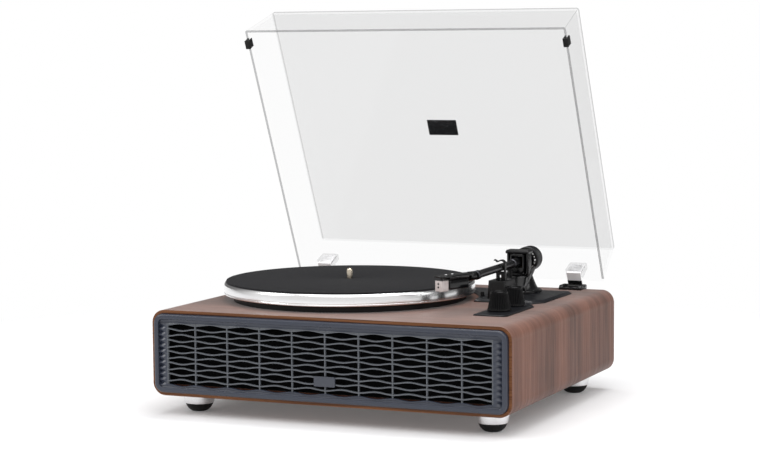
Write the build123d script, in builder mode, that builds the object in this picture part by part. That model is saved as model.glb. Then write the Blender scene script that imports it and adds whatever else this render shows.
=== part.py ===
from build123d import *

import os
from math import asin, cos, radians, sin

# A record player with speakers in its plinth. Millimetres, +Z up, front towards -Y.
# The origin is on the table, under the middle of the whole object with its lid open.

# ---- Driving dimensions ------------------------------------------------------------------

CABINET_WIDTH = 440.0
CABINET_DEPTH = 357.8
CABINET_HEIGHT = 98.8
CABINET_WALL = 12.0
CABINET_CORNER = 15.0
FOOT_HEIGHT = 22.7
CABINET_Y = -27.8                                     # middle of the cabinet, front to back

DECK_Z = FOOT_HEIGHT + CABINET_HEIGHT                 # top face of the cabinet
CEILING_Z = DECK_Z - CABINET_WALL                     # underside of the deck
FLOOR_Z = FOOT_HEIGHT + CABINET_WALL                  # inner face of the bottom
MIDDLE_Z = FOOT_HEIGHT + CABINET_HEIGHT / 2
FRONT_Y = CABINET_Y - CABINET_DEPTH / 2
BACK_Y = CABINET_Y + CABINET_DEPTH / 2

# Front grille: a frame in a rebate, and a lattice of wavy bars on upright ribs.
WOOD_EDGE = 3.5                                       # wood left showing round the grille
REBATE_DEPTH = 8.0
GRILLE_PROUD = 5.5
GRILLE_GAP = 0.5
BEZEL = 6.0
LATTICE_BACK = 3.0                                    # lattice thickness
LATTICE_SET_BACK = 2.0                                # lattice front, behind the bezel front
RIB_PITCH = 40.8
RIB_WIDTH = 2.0
END_RIB_X = 198.9
WAVE_TOP = 83.5                                       # heights above the cabinet underside
WAVE_BOTTOM = 12.3
WAVE_LINES = 12
WAVE_SWING = 1.05
WAVE_THICKNESS = 1.7

# Feet: a tapered metal ring with a rubber dome under it.
FOOT_X = 182.4
FOOT_Y = 138.4
FOOT_RING_HEIGHT = 13.0
FOOT_TOP_RADIUS = 19.6
FOOT_RING_RADIUS = 16.8

# Speakers behind the baffle.
BAFFLE_Y = FRONT_Y + 10.0
BAFFLE_THICKNESS = 9.0
SPEAKER_X = 135.0
SPEAKER_HOLE = 33.0
SPEAKER_FLANGE = 36.0

# Platter, its bearing and its belt drive.
PLATTER_X = -51.5
PLATTER_Y = CABINET_Y - 1.4
PLATTER_RADIUS = 149.5
PLATTER_BOTTOM = DECK_Z + 7.7
PLATTER_TOP = DECK_Z + 21.6
MAT_TOP = PLATTER_TOP + 2.0
MAT_RADIUS = 147.0
SPINDLE_RADIUS = 3.575
SHAFT_RADIUS = 3.0
SHAFT_CLEARANCE = 0.05
DRUM_RADIUS = 118.0
PULLEY_RADIUS = 5.6
PULLEY_REACH = 126.5                                  # spindle to motor shaft
PULLEY_ANGLE = radians(215)
BELT_GAP = 0.3
PULLEY_X = PLATTER_X + PULLEY_REACH * cos(PULLEY_ANGLE)
PULLEY_Y = PLATTER_Y + PULLEY_REACH * sin(PULLEY_ANGLE)

# Tone arm. Its pivot, and the arm line, which leans a little outwards when parked.
PIVOT_X = 127.0
PIVOT_Y = CABINET_Y + 97.5
ARM_Z = DECK_Z + 40.0
ARM_LEAN = 2.0
TUBE_RADIUS = 4.5
NECK_RADIUS = 5.5
TUBE_LENGTH = 158.0                                   # pivot to headshell joint
HEADSHELL_ANGLE = 24.0
STYLUS_REACH = 58.0                                   # headshell joint to stylus tip
STYLUS_TIP_Z = MAT_TOP + 2.1
PLATE_TOP = DECK_Z + 3.8
WEIGHT_FRONT = 27.0
WEIGHT_LENGTH = 19.5
WEIGHT_RADIUS = 15.0
STUB_RADIUS = 4.0
INSERT_RADIUS = 7.0

# Controls.
KNOB_X = 163.0
KNOB_YS = (CABINET_Y - 66.0, CABINET_Y - 19.0)
KNOB_BASE_RADIUS = 13.5
KNOB_TOP_RADIUS = 9.9
KNOB_HEIGHT = 21.7
KNOB_PLATE_TOP = DECK_Z + 1.8
SPEED_X = 101.0
SPEED_Y = CABINET_Y + 42.0

# Lid and hinges. The lid is drawn shut in its own frame, which is tipped back when open.
HINGE_Y = CABINET_Y + 181.8
HINGE_Z = DECK_Z + 2.1
HINGE_X = 169.0
LID_OPEN = 64.9
LID_WIDTH = 414.0
LID_DEPTH = 341.2
LID_HEIGHT = 68.5
LID_WALL = 2.8
LID_RIM = 2.4                                         # rim above the hinge line
LID_BACK = -7.8                                       # back wall from the hinge line
LID_DRAFT_SIDE = 5.8
LID_DRAFT_FRONT = 6.75
LID_DRAFT_BACK = 6.3
PIN_RADIUS = 1.25
PIN_CLEARANCE = 0.05
LEAF_WIDTH = 18.0

# Rear connections.
JACK_XS = (-130.0, -112.0)
INLET_X = 100.0
SWITCH_X = 140.0
REAR_PANEL_THICKNESS = 5.0
REAR_PANEL_INSET = 4.0

# ---- Planes ------------------------------------------------------------------------------

front = Plane(origin=(0, FRONT_Y, MIDDLE_Z), x_dir=(1, 0, 0), z_dir=(0, -1, 0))
rear_face_y = BACK_Y - REAR_PANEL_INSET
rear = Plane(origin=(0, rear_face_y, MIDDLE_Z), x_dir=(-1, 0, 0), z_dir=(0, 1, 0))
arm = Plane(
    origin=(PIVOT_X, PIVOT_Y, ARM_Z),
    x_dir=(cos(radians(ARM_LEAN)), sin(radians(ARM_LEAN)), 0),
    z_dir=(0, 0, 1),
)
arm_forward = Vector(sin(radians(ARM_LEAN)), -cos(radians(ARM_LEAN)), 0)
arm_end = Vector(PIVOT_X, PIVOT_Y, ARM_Z) + arm_forward * TUBE_LENGTH
shell_turn = radians(HEADSHELL_ANGLE - ARM_LEAN)
shell_forward = Vector(-sin(shell_turn), -cos(shell_turn), 0)
headshell_plane = Plane(
    origin=arm_end,
    x_dir=(cos(shell_turn), -sin(shell_turn), 0),
    z_dir=(0, 0, 1),
)
lid_plane = Plane(
    origin=(0, HINGE_Y, HINGE_Z),
    x_dir=(1, 0, 0),
    z_dir=(0, sin(radians(LID_OPEN)), cos(radians(LID_OPEN))),
)


def upright(x, y):
    """A plane through a vertical axis: sketch x is the radius, sketch y is the height."""
    return Plane(origin=(x, y, 0), x_dir=(1, 0, 0), z_dir=(0, -1, 0))


def along_depth(x, z):
    """A plane through an axis that runs front to back: sketch x is the radius."""
    return Plane(origin=(x, 0, z), x_dir=(1, 0, 0), z_dir=(0, 0, 1))


def vertical_axis(x, y):
    return Axis((x, y, 0), (0, 0, 1))


def depth_axis(x, z):
    return Axis((x, 0, z), (0, 1, 0))


def dome(radius, base, rise):
    """Half a domed profile, on a sphere centred on the axis, from its edge to its top."""
    ball = (radius**2 + rise**2) / (2 * abs(rise))
    half_angle = asin(radius / ball) / 2
    up = 1 if rise > 0 else -1
    middle = (ball * sin(half_angle), base + rise - up * ball * (1 - cos(half_angle)))
    return ThreePointArc((radius, base), middle, (0, base + rise))


def arm_section(distance):
    """A plane across the tone arm, facing forwards, at a distance ahead of the pivot."""
    centre = Vector(PIVOT_X, PIVOT_Y, ARM_Z) + arm_forward * distance
    return Plane(origin=centre, x_dir=arm.x_dir, z_dir=arm_forward)


def shell_section(distance):
    """A plane across the headshell, facing forwards."""
    centre = arm_end + shell_forward * distance
    return Plane(origin=centre, x_dir=headshell_plane.x_dir, z_dir=shell_forward)


def side_of_lid(x):
    """A plane across the shut lid at x: sketch x runs forwards, sketch y upwards."""
    centre = lid_plane.from_local_coords(Vector(x, 0, 0))
    return Plane(origin=centre, x_dir=-lid_plane.y_dir, z_dir=(-1, 0, 0))


# ---- Cabinet -----------------------------------------------------------------------------

foot_places = [(x, CABINET_Y + y) for x in (-FOOT_X, FOOT_X) for y in (-FOOT_Y, FOOT_Y)]
hinge_xs = (-HINGE_X, HINGE_X)
HINGE_BASE_FRONT = CABINET_Y + 161.5
hinge_screw_places = [(x + shift, HINGE_BASE_FRONT + 6.0) for x in hinge_xs for shift in (-5.5, 5.5)]
speed_slot = (4.5, 13.0)

with BuildPart() as cabinet_shell:
    with BuildSketch(front):
        RectangleRounded(CABINET_WIDTH, CABINET_HEIGHT, CABINET_CORNER)
        RectangleRounded(
            CABINET_WIDTH - 2 * CABINET_WALL, CABINET_HEIGHT - 2 * CABINET_WALL, 4, mode=Mode.SUBTRACT
        )
    extrude(amount=-CABINET_DEPTH)
    with BuildSketch(front):
        RectangleRounded(
            CABINET_WIDTH - 2 * WOOD_EDGE, CABINET_HEIGHT - 2 * WOOD_EDGE, CABINET_CORNER - WOOD_EDGE
        )
    extrude(amount=-REBATE_DEPTH, mode=Mode.SUBTRACT)
    with BuildSketch(Plane.XY.offset(DECK_Z)):
        with Locations((PLATTER_X, PLATTER_Y)):
            Circle(12.3)
        with Locations((PULLEY_X, PULLEY_Y)):
            Circle(6)
        with Locations(*[(KNOB_X, y) for y in KNOB_YS]):
            Circle(4.7)
        with Locations((SPEED_X, SPEED_Y)):
            Rectangle(8, 20)
        with Locations((PIVOT_X, PIVOT_Y)):
            Circle(8)
        with Locations(*hinge_screw_places):
            Circle(1.5)
    extrude(amount=-CABINET_WALL, mode=Mode.SUBTRACT)
    with BuildSketch(Plane.XY.offset(FOOT_HEIGHT)):
        with Locations(*foot_places):
            Circle(2.0)
        with Locations((0, CABINET_Y + 60)):
            with GridLocations(16, 0, 9, 1):
                SlotOverall(60, 5, rotation=90)
    extrude(amount=CABINET_WALL, mode=Mode.SUBTRACT)

with BuildPart() as front_baffle:
    with BuildSketch(front.offset(-(BAFFLE_Y - FRONT_Y))):
        RectangleRounded(CABINET_WIDTH - 2 * CABINET_WALL, CABINET_HEIGHT - 2 * CABINET_WALL, 4)
        with Locations((-SPEAKER_X, 0), (SPEAKER_X, 0)):
            Circle(SPEAKER_HOLE, mode=Mode.SUBTRACT)
    extrude(amount=-BAFFLE_THICKNESS)

# ---- Grille ------------------------------------------------------------------------------

rib_xs = [-END_RIB_X] + [RIB_PITCH * n for n in range(-4, 5)] + [END_RIB_X]
wave_step = (WAVE_TOP - WAVE_BOTTOM) / (WAVE_LINES - 1)
HALF_COSINE = 0.3642                                  # handle length that fits half a cosine


def wave(start, end, height, swing):
    """Two curves that together follow one cosine period, from rib to rib."""
    middle = (start + end) / 2
    reach = (middle - start) * HALF_COSINE
    low = height - swing
    high = height + swing
    rise = Bezier((start, low), (start + reach, low), (middle - reach, high), (middle, high))
    fall = Bezier((middle, high), (middle + reach, high), (end - reach, low), (end, low))
    return [rise, fall]


def wave_opening(left, right, line):
    """The opening between two neighbouring wavy bars, in one bay between two ribs."""
    swing = WAVE_SWING if line % 2 == 0 else -WAVE_SWING
    upper = CABINET_HEIGHT / -2 + WAVE_TOP - line * wave_step - WAVE_THICKNESS / 2
    lower = upper - wave_step + WAVE_THICKNESS
    start = left + RIB_WIDTH / 2
    end = right - RIB_WIDTH / 2
    top = wave(start, end, upper, swing)
    bottom = wave(start, end, lower, -swing)
    sides = [Line(top[0] @ 0, bottom[0] @ 0), Line(top[1] @ 1, bottom[1] @ 1)]
    return make_face(top + bottom + sides)


wave_openings = [
    wave_opening(left, right, line)
    for left, right in zip(rib_xs[:-1], rib_xs[1:])
    for line in range(WAVE_LINES - 1)
]
grille_width = CABINET_WIDTH - 2 * WOOD_EDGE - 2 * GRILLE_GAP
grille_height = CABINET_HEIGHT - 2 * WOOD_EDGE - 2 * GRILLE_GAP
grille_corner = CABINET_CORNER - WOOD_EDGE - GRILLE_GAP
lattice_front = GRILLE_PROUD - LATTICE_SET_BACK

with BuildPart() as front_grille:
    with BuildSketch(front.offset(GRILLE_PROUD)):
        RectangleRounded(grille_width, grille_height, grille_corner)
    extrude(amount=-(GRILLE_PROUD + REBATE_DEPTH - GRILLE_GAP))
    fillet(front_grille.faces().sort_by(Axis.Y)[0].edges(), radius=2.5)
    with BuildSketch(front.offset(GRILLE_PROUD)):
        RectangleRounded(grille_width - 2 * BEZEL, grille_height - 2 * BEZEL, grille_corner - BEZEL)
    extrude(amount=-LATTICE_SET_BACK, mode=Mode.SUBTRACT)
    with BuildSketch(front.offset(lattice_front - LATTICE_BACK)):
        RectangleRounded(grille_width - 2 * BEZEL, grille_height - 2 * BEZEL, grille_corner - BEZEL)
    extrude(amount=-20, mode=Mode.SUBTRACT)
    with BuildSketch(front.offset(lattice_front)):
        add(wave_openings)
    extrude(amount=-LATTICE_BACK, mode=Mode.SUBTRACT)

with BuildPart() as grille_badge:
    with BuildSketch(front.offset(lattice_front)):
        with Locations((0, 28.0 - CABINET_HEIGHT / 2)):
            RectangleRounded(26, 11.5, 1.5)
    extrude(amount=1.4)
    fillet(grille_badge.faces().sort_by(Axis.Y)[0].edges(), radius=0.5)

with BuildPart() as grille_cloth:
    with BuildSketch(front.offset(-(BAFFLE_Y - FRONT_Y - 0.8))):
        RectangleRounded(grille_width - 2 * BEZEL - 6, grille_height - 2 * BEZEL - 6, 3)
    extrude(amount=-0.8)

# ---- Feet --------------------------------------------------------------------------------

ring_bottom = FOOT_HEIGHT - FOOT_RING_HEIGHT

with BuildPart() as foot_rings:
    for foot_x, foot_y in foot_places:
        with BuildSketch(upright(foot_x, foot_y)):
            with BuildLine():
                Polyline(
                    (2.2, FOOT_HEIGHT),
                    (FOOT_TOP_RADIUS, FOOT_HEIGHT),
                    (FOOT_RING_RADIUS, ring_bottom),
                    (6.0, ring_bottom),
                    (6.0, ring_bottom + 3.4),
                    (2.2, ring_bottom + 3.4),
                    close=True,
                )
            make_face()
        revolve(axis=vertical_axis(foot_x, foot_y))

with BuildPart() as foot_pads:
    for foot_x, foot_y in foot_places:
        with BuildSketch(upright(foot_x, foot_y)):
            with BuildLine():
                Line((0, ring_bottom), (0, 0))
                Line((0, 0), (6, 0))
                ThreePointArc((6, 0), (12.9, 3.8), (16.2, ring_bottom))
                Line((16.2, ring_bottom), (0, ring_bottom))
            make_face()
        revolve(axis=vertical_axis(foot_x, foot_y))

with BuildPart() as foot_screws:
    for foot_x, foot_y in foot_places:
        with BuildSketch(upright(foot_x, foot_y)):
            with BuildLine():
                Polyline(
                    (0, ring_bottom + 0.6),
                    (3.8, ring_bottom + 0.6),
                    (3.8, ring_bottom + 3.4),
                    (2.0, ring_bottom + 3.4),
                    (2.0, FLOOR_Z + 2),
                    (0, FLOOR_Z + 2),
                    close=True,
                )
            make_face()
        revolve(axis=vertical_axis(foot_x, foot_y))

# ---- Speakers ----------------------------------------------------------------------------

basket_y = BAFFLE_Y + BAFFLE_THICKNESS
cone_rim_y = basket_y + 0.5
speaker_xs = (-SPEAKER_X, SPEAKER_X)

with BuildPart() as speaker_baskets:
    for speaker_x in speaker_xs:
        with BuildSketch(along_depth(speaker_x, MIDDLE_Z)):
            with BuildLine():
                Polyline(
                    (32.6, basket_y),
                    (SPEAKER_FLANGE, basket_y),
                    (SPEAKER_FLANGE, basket_y + 2),
                    (34.0, basket_y + 2),
                    (25.0, basket_y + 21),
                    (25.0, basket_y + 23),
                    (13.0, basket_y + 23),
                    (13.0, basket_y + 21.2),
                    (23.6, basket_y + 21.2),
                    (32.6, basket_y + 2),
                    close=True,
                )
            make_face()
        revolve(axis=depth_axis(speaker_x, MIDDLE_Z))
        with BuildSketch(along_depth(speaker_x, MIDDLE_Z)):
            with Locations((0, basket_y + 11)):
                Rectangle(80, 11)
        extrude(amount=10, both=True, mode=Mode.SUBTRACT)

with BuildPart() as speaker_magnets:
    for speaker_x in speaker_xs:
        with BuildSketch(along_depth(speaker_x, MIDDLE_Z)):
            with BuildLine():
                Polyline(
                    (11.2, basket_y + 23),
                    (24.0, basket_y + 23),
                    (24.0, basket_y + 40),
                    (0, basket_y + 40),
                    (0, basket_y + 23),
                    (9.0, basket_y + 23),
                    (9.0, basket_y + 35),
                    (11.2, basket_y + 35),
                    close=True,
                )
            make_face()
        revolve(axis=depth_axis(speaker_x, MIDDLE_Z))


def speaker_cone(x):
    """The moving cone of one loudspeaker, with its dust cap and its coil tube."""
    with BuildPart() as cone:
        with BuildSketch(along_depth(x, MIDDLE_Z)):
            with BuildLine():
                Polyline(
                    (28.0, cone_rim_y),
                    (28.0, cone_rim_y + 1.0),
                    (10.4, cone_rim_y + 15.6),
                    (10.4, cone_rim_y + 30.0),
                    (9.8, cone_rim_y + 30.0),
                    (9.8, cone_rim_y + 14.0),
                )
                dome(9.8, cone_rim_y + 14.0, -3.4)
                Line((0, cone_rim_y + 10.6), (0, cone_rim_y + 9.9))
                dome(10.4, cone_rim_y + 13.6, -3.7)
                Polyline((10.4, cone_rim_y + 13.6), (26.8, cone_rim_y), (28.0, cone_rim_y))
            make_face()
        revolve(axis=depth_axis(x, MIDDLE_Z))
    return cone


speaker_cone_left = speaker_cone(-SPEAKER_X)
speaker_cone_right = speaker_cone(SPEAKER_X)

with BuildPart() as speaker_surrounds:
    for speaker_x in speaker_xs:
        with BuildSketch(along_depth(speaker_x, MIDDLE_Z)):
            with BuildLine():
                Line((28.4, cone_rim_y), (28.4, cone_rim_y + 0.6))
                ThreePointArc((28.4, cone_rim_y + 0.6), (30.5, cone_rim_y - 1.3), (32.6, cone_rim_y + 0.6))
                Line((32.6, cone_rim_y + 0.6), (32.6, cone_rim_y))
                ThreePointArc((32.6, cone_rim_y), (30.5, cone_rim_y - 2.0), (28.4, cone_rim_y))
            make_face()
        revolve(axis=depth_axis(speaker_x, MIDDLE_Z))

# ---- Electronics -------------------------------------------------------------------------

BOARD_X = -20.0
BOARD_Y = CABINET_Y + 105.0
BOARD_Z = FLOOR_Z + 8.0

with BuildPart() as board_standoffs:
    with BuildSketch(Plane.XY.offset(FLOOR_Z)):
        with Locations((BOARD_X, BOARD_Y)):
            with GridLocations(110, 62, 2, 2):
                Circle(3)
    extrude(amount=BOARD_Z - FLOOR_Z)

with BuildPart() as amplifier_board:
    with BuildSketch(Plane.XY.offset(BOARD_Z)):
        with Locations((BOARD_X, BOARD_Y)):
            Rectangle(122, 74)
    extrude(amount=1.6)
    with BuildSketch(Plane.XY.offset(BOARD_Z + 1.6)):
        with Locations((BOARD_X - 35, BOARD_Y + 18), (BOARD_X - 35, BOARD_Y - 2)):
            Circle(6)
        with Locations((BOARD_X - 15, BOARD_Y + 18)):
            Circle(6)
    extrude(amount=18)
    with BuildSketch(Plane.XY.offset(BOARD_Z + 1.6)):
        with Locations((BOARD_X + 25, BOARD_Y)):
            Rectangle(38, 5)
            with GridLocations(7, 0, 6, 1):
                Rectangle(2, 22)
    extrude(amount=22)
    with BuildSketch(Plane.XY.offset(BOARD_Z + 1.6)):
        with Locations((BOARD_X - 12, BOARD_Y - 16), (BOARD_X + 4, BOARD_Y + 22)):
            Rectangle(14, 9)
    extrude(amount=4)

# ---- Rear panel and its connections ------------------------------------------------------

panel_width = CABINET_WIDTH - 2 * CABINET_WALL
panel_height = CABINET_HEIGHT - 2 * CABINET_WALL
panel_screw_places = [(x, z) for x in (-195, 0, 195) for z in (-30, 30)]
JACK_Z = 10.0
ROCKER_TILT = 9.0
ROCKER_PIN_RADIUS = 0.8
rocker_side = Plane(
    origin=(SWITCH_X, rear_face_y - 4.0, MIDDLE_Z + JACK_Z),
    x_dir=(0, cos(radians(ROCKER_TILT)), -sin(radians(ROCKER_TILT))),
    z_dir=(1, 0, 0),
)

with BuildPart() as rear_panel:
    with BuildSketch(rear):
        RectangleRounded(panel_width, panel_height, 4)
        with Locations(*[(-x, JACK_Z) for x in JACK_XS]):
            Circle(3.5, mode=Mode.SUBTRACT)
        with Locations((-INLET_X, JACK_Z)):
            Circle(4.2, mode=Mode.SUBTRACT)
        with Locations((-SWITCH_X, JACK_Z)):
            Rectangle(13.4, 19.4, mode=Mode.SUBTRACT)
        with Locations(*panel_screw_places):
            Circle(1.5, mode=Mode.SUBTRACT)
        with Locations((0, -12)):
            with GridLocations(7, 0, 16, 1):
                SlotOverall(22, 3, rotation=90, mode=Mode.SUBTRACT)
    extrude(amount=-REAR_PANEL_THICKNESS)
    with BuildSketch(rear.offset(-REAR_PANEL_THICKNESS)):
        with Locations((-SWITCH_X, JACK_Z)):
            Rectangle(17, 23)
            Rectangle(13.4, 19.4, mode=Mode.SUBTRACT)
    extrude(amount=-9)
    with BuildSketch(rocker_side):
        Circle(ROCKER_PIN_RADIUS + SHAFT_CLEARANCE)
    extrude(amount=8.4, both=True, mode=Mode.SUBTRACT)

with BuildPart() as output_jacks:
    with BuildSketch(rear.offset(9)):
        with Locations(*[(-x, JACK_Z) for x in JACK_XS]):
            Circle(4.15)
            Circle(1.7, mode=Mode.SUBTRACT)
    extrude(amount=-9)
    with BuildSketch(rear):
        with Locations(*[(-x, JACK_Z) for x in JACK_XS]):
            Circle(3.4)
            Circle(1.7, mode=Mode.SUBTRACT)
    extrude(amount=-REAR_PANEL_THICKNESS)
    with BuildSketch(rear.offset(-REAR_PANEL_THICKNESS)):
        with Locations(*[(-x, JACK_Z) for x in JACK_XS]):
            Circle(6.5)
    extrude(amount=-8)

with BuildPart() as power_inlet:
    with BuildSketch(rear):
        with Locations((-INLET_X, JACK_Z)):
            Circle(4.1)
            Circle(2.8, mode=Mode.SUBTRACT)
            Circle(1.0)
    extrude(amount=-REAR_PANEL_THICKNESS)
    with BuildSketch(rear.offset(-REAR_PANEL_THICKNESS)):
        with Locations((-INLET_X, JACK_Z)):
            Rectangle(9.5, 11)
            Circle(2.8, mode=Mode.SUBTRACT)
            Circle(1.0)
    extrude(amount=-7)
    with BuildSketch(rear.offset(-REAR_PANEL_THICKNESS - 7)):
        with Locations((-INLET_X, JACK_Z)):
            Rectangle(9.5, 11)
    extrude(amount=-3)

with BuildPart() as power_rocker:
    with BuildSketch(rocker_side):
        with BuildLine():
            Polyline((5.2, -7.6), (5.2, 7.6), (-1, 7.0), (-4.5, 0), (-1, -7.0), close=True)
        make_face()
    extrude(amount=6.3, both=True)
    with BuildSketch(rocker_side):
        Circle(ROCKER_PIN_RADIUS)
    extrude(amount=8.0, both=True)

# ---- Platter, bearing and drive ----------------------------------------------------------

platter_axis = vertical_axis(PLATTER_X, PLATTER_Y)
platter_profile = upright(PLATTER_X, PLATTER_Y)
deck_of_platter = PLATTER_TOP - 4.0
hub_bottom = DECK_Z + 5.0
HUB_RADIUS = 16.0
HOUSING_RADIUS = 12.0
BUSH_RADIUS = 7.0
shaft_bottom = DECK_Z - 24.0

with BuildPart() as platter_skirt:
    with BuildSketch(platter_profile):
        with BuildLine():
            Polyline(
                (30.0, DECK_Z),
                (138.5, DECK_Z),
                (138.5, DECK_Z + 5.6),
                (137.7, DECK_Z + 6.4),
                (134.5, DECK_Z + 6.4),
                (134.5, DECK_Z + 2.0),
                (30.0, DECK_Z + 2.0),
                close=True,
            )
        make_face()
    revolve(axis=platter_axis)
    with BuildSketch(Plane.XY.offset(DECK_Z)):
        with Locations((PULLEY_X, PULLEY_Y)):
            Circle(6)
    extrude(amount=2, mode=Mode.SUBTRACT)

with BuildPart() as bearing_housing:
    with BuildSketch(platter_profile):
        with BuildLine():
            Polyline(
                (BUSH_RADIUS, DECK_Z + 3.0),
                (26.0, DECK_Z + 3.0),
                (26.0, DECK_Z),
                (HOUSING_RADIUS, DECK_Z),
                (HOUSING_RADIUS, shaft_bottom - 4.0),
                (0, shaft_bottom - 4.0),
                (0, shaft_bottom - 1.0),
                (BUSH_RADIUS, shaft_bottom - 1.0),
                close=True,
            )
        make_face()
    revolve(axis=platter_axis)

with BuildPart() as bearing_bush:
    with BuildSketch(Plane.XY.offset(DECK_Z + 3.0)):
        with Locations((PLATTER_X, PLATTER_Y)):
            Circle(BUSH_RADIUS)
            Circle(SHAFT_RADIUS + SHAFT_CLEARANCE, mode=Mode.SUBTRACT)
    extrude(amount=-(DECK_Z + 3.0 - shaft_bottom))

with BuildPart() as spindle:
    with BuildSketch(platter_profile):
        with BuildLine():
            Polyline(
                (0, shaft_bottom - 0.6),
                (SHAFT_RADIUS, shaft_bottom - 0.6),
                (SHAFT_RADIUS, MAT_TOP),
                (SPINDLE_RADIUS, MAT_TOP),
                (SPINDLE_RADIUS, MAT_TOP + 10.2),
            )
            dome(SPINDLE_RADIUS, MAT_TOP + 10.2, 2.5)
            Line((0, MAT_TOP + 12.7), (0, shaft_bottom - 0.6))
        make_face()
    revolve(axis=platter_axis)

with BuildPart() as platter:
    with BuildSketch(platter_profile):
        with BuildLine():
            Polyline(
                (SHAFT_RADIUS, hub_bottom),
                (HUB_RADIUS, hub_bottom),
                (HUB_RADIUS, deck_of_platter),
                (DRUM_RADIUS - 4, deck_of_platter),
                (DRUM_RADIUS - 4, PLATTER_BOTTOM + 1.5),
                (DRUM_RADIUS, PLATTER_BOTTOM + 1.5),
                (DRUM_RADIUS, deck_of_platter),
                (PLATTER_RADIUS - 5.5, deck_of_platter),
                (PLATTER_RADIUS - 5.5, PLATTER_BOTTOM),
                (PLATTER_RADIUS - 0.6, PLATTER_BOTTOM),
                (PLATTER_RADIUS, PLATTER_BOTTOM + 0.6),
                (PLATTER_RADIUS, PLATTER_TOP - 2.4),
                (PLATTER_RADIUS - 1.4, PLATTER_TOP),
                (SHAFT_RADIUS, PLATTER_TOP),
                close=True,
            )
        make_face()
    revolve(axis=platter_axis)
    with BuildSketch(Plane.XY.offset(PLATTER_TOP)):
        with Locations((PULLEY_X, PULLEY_Y)):
            Circle(10)
    extrude(amount=-4, mode=Mode.SUBTRACT)

with BuildPart() as slipmat:
    with BuildSketch(platter_profile):
        with BuildLine():
            Polyline(
                (SPINDLE_RADIUS + 0.1, PLATTER_TOP),
                (MAT_RADIUS, PLATTER_TOP),
                (MAT_RADIUS, MAT_TOP - 0.5),
                (MAT_RADIUS - 0.5, MAT_TOP),
                (SPINDLE_RADIUS + 0.1, MAT_TOP),
                close=True,
            )
        make_face()
    revolve(axis=platter_axis)

belt_bottom = PLATTER_BOTTOM + 2.3
BELT_WIDTH = 5.0
BELT_THICKNESS = 0.7
MOTOR_RADIUS = 17.0
MOTOR_LENGTH = 22.0
MOTOR_SHAFT_RADIUS = 1.5
motor_flange_bottom = CEILING_Z - 2.0

with BuildPart() as drive_belt:
    with BuildSketch(Plane.XY.offset(belt_bottom)):
        with Locations((PLATTER_X, PLATTER_Y)):
            Circle(DRUM_RADIUS + BELT_GAP + BELT_THICKNESS)
        with Locations((PULLEY_X, PULLEY_Y)):
            Circle(PULLEY_RADIUS + BELT_GAP + BELT_THICKNESS)
        make_hull()
    extrude(amount=BELT_WIDTH)
    with BuildSketch(Plane.XY.offset(belt_bottom)):
        with Locations((PLATTER_X, PLATTER_Y)):
            Circle(DRUM_RADIUS + BELT_GAP)
        with Locations((PULLEY_X, PULLEY_Y)):
            Circle(PULLEY_RADIUS + BELT_GAP)
        make_hull()
    extrude(amount=BELT_WIDTH, mode=Mode.SUBTRACT)

with BuildPart() as motor:
    with BuildSketch(Plane.XY.offset(CEILING_Z)):
        with Locations((PULLEY_X, PULLEY_Y)):
            SlotCenterToCenter(25, 14)
            Circle(MOTOR_RADIUS)
            Circle(6, mode=Mode.SUBTRACT)
    extrude(amount=-2)
    with BuildSketch(Plane.XY.offset(motor_flange_bottom)):
        with Locations((PULLEY_X, PULLEY_Y)):
            Circle(MOTOR_RADIUS)
            Circle(MOTOR_SHAFT_RADIUS + SHAFT_CLEARANCE, mode=Mode.SUBTRACT)
    extrude(amount=-MOTOR_LENGTH)
    fillet(motor.faces().sort_by(Axis.Z)[0].edges().sort_by(SortBy.RADIUS)[-1], radius=2)

with BuildPart() as motor_pulley:
    with BuildSketch(upright(PULLEY_X, PULLEY_Y)):
        with BuildLine():
            Polyline(
                (0, motor_flange_bottom - 14),
                (MOTOR_SHAFT_RADIUS, motor_flange_bottom - 14),
                (MOTOR_SHAFT_RADIUS, belt_bottom - 1.4),
                (PULLEY_RADIUS + 1.4, belt_bottom - 1.4),
                (PULLEY_RADIUS + 1.4, belt_bottom - 0.5),
                (PULLEY_RADIUS, belt_bottom - 0.5),
                (PULLEY_RADIUS, belt_bottom + BELT_WIDTH + 0.5),
                (PULLEY_RADIUS + 1.4, belt_bottom + BELT_WIDTH + 0.5),
                (PULLEY_RADIUS + 1.4, belt_bottom + BELT_WIDTH + 1.2),
                (0, belt_bottom + BELT_WIDTH + 1.2),
                close=True,
            )
        make_face()
    revolve(axis=vertical_axis(PULLEY_X, PULLEY_Y))

# ---- Deck plates and controls ------------------------------------------------------------

plate_right = 184.0
plate_front = CABINET_Y + 13.0
plate_back = CABINET_Y + 124.0
PLATTER_GAP = 4.0
PLATE_EDGE = 1.0                                      # upright edge below the bevel

with BuildPart() as arm_plate:
    with BuildSketch(Plane.XY.offset(DECK_Z)):
        with BuildLine():
            Polyline(
                (52, plate_front),
                (plate_right - 11, plate_front),
                (plate_right, plate_front + 16),
                (plate_right, plate_back),
                (52, plate_back),
                close=True,
            )
        make_face()
        with Locations((PLATTER_X, PLATTER_Y)):
            Circle(PLATTER_RADIUS + PLATTER_GAP, mode=Mode.SUBTRACT)
    extrude(amount=PLATE_EDGE)
    extrude(arm_plate.faces().sort_by(Axis.Z)[-1], amount=PLATE_TOP - DECK_Z - PLATE_EDGE, taper=45)
    with BuildSketch(Plane.XY.offset(PLATE_TOP)):
        with Locations((SPEED_X, SPEED_Y)):
            SlotOverall(speed_slot[1], speed_slot[0], rotation=90)
        with Locations((PIVOT_X, PIVOT_Y)):
            Circle(8)
    extrude(amount=-(PLATE_TOP - DECK_Z), mode=Mode.SUBTRACT)

knob_plate_right = 185.5
knob_plate_left = 146.0
knob_plate_front = CABINET_Y - 104.0
knob_plate_back = plate_front - 0.6

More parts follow.
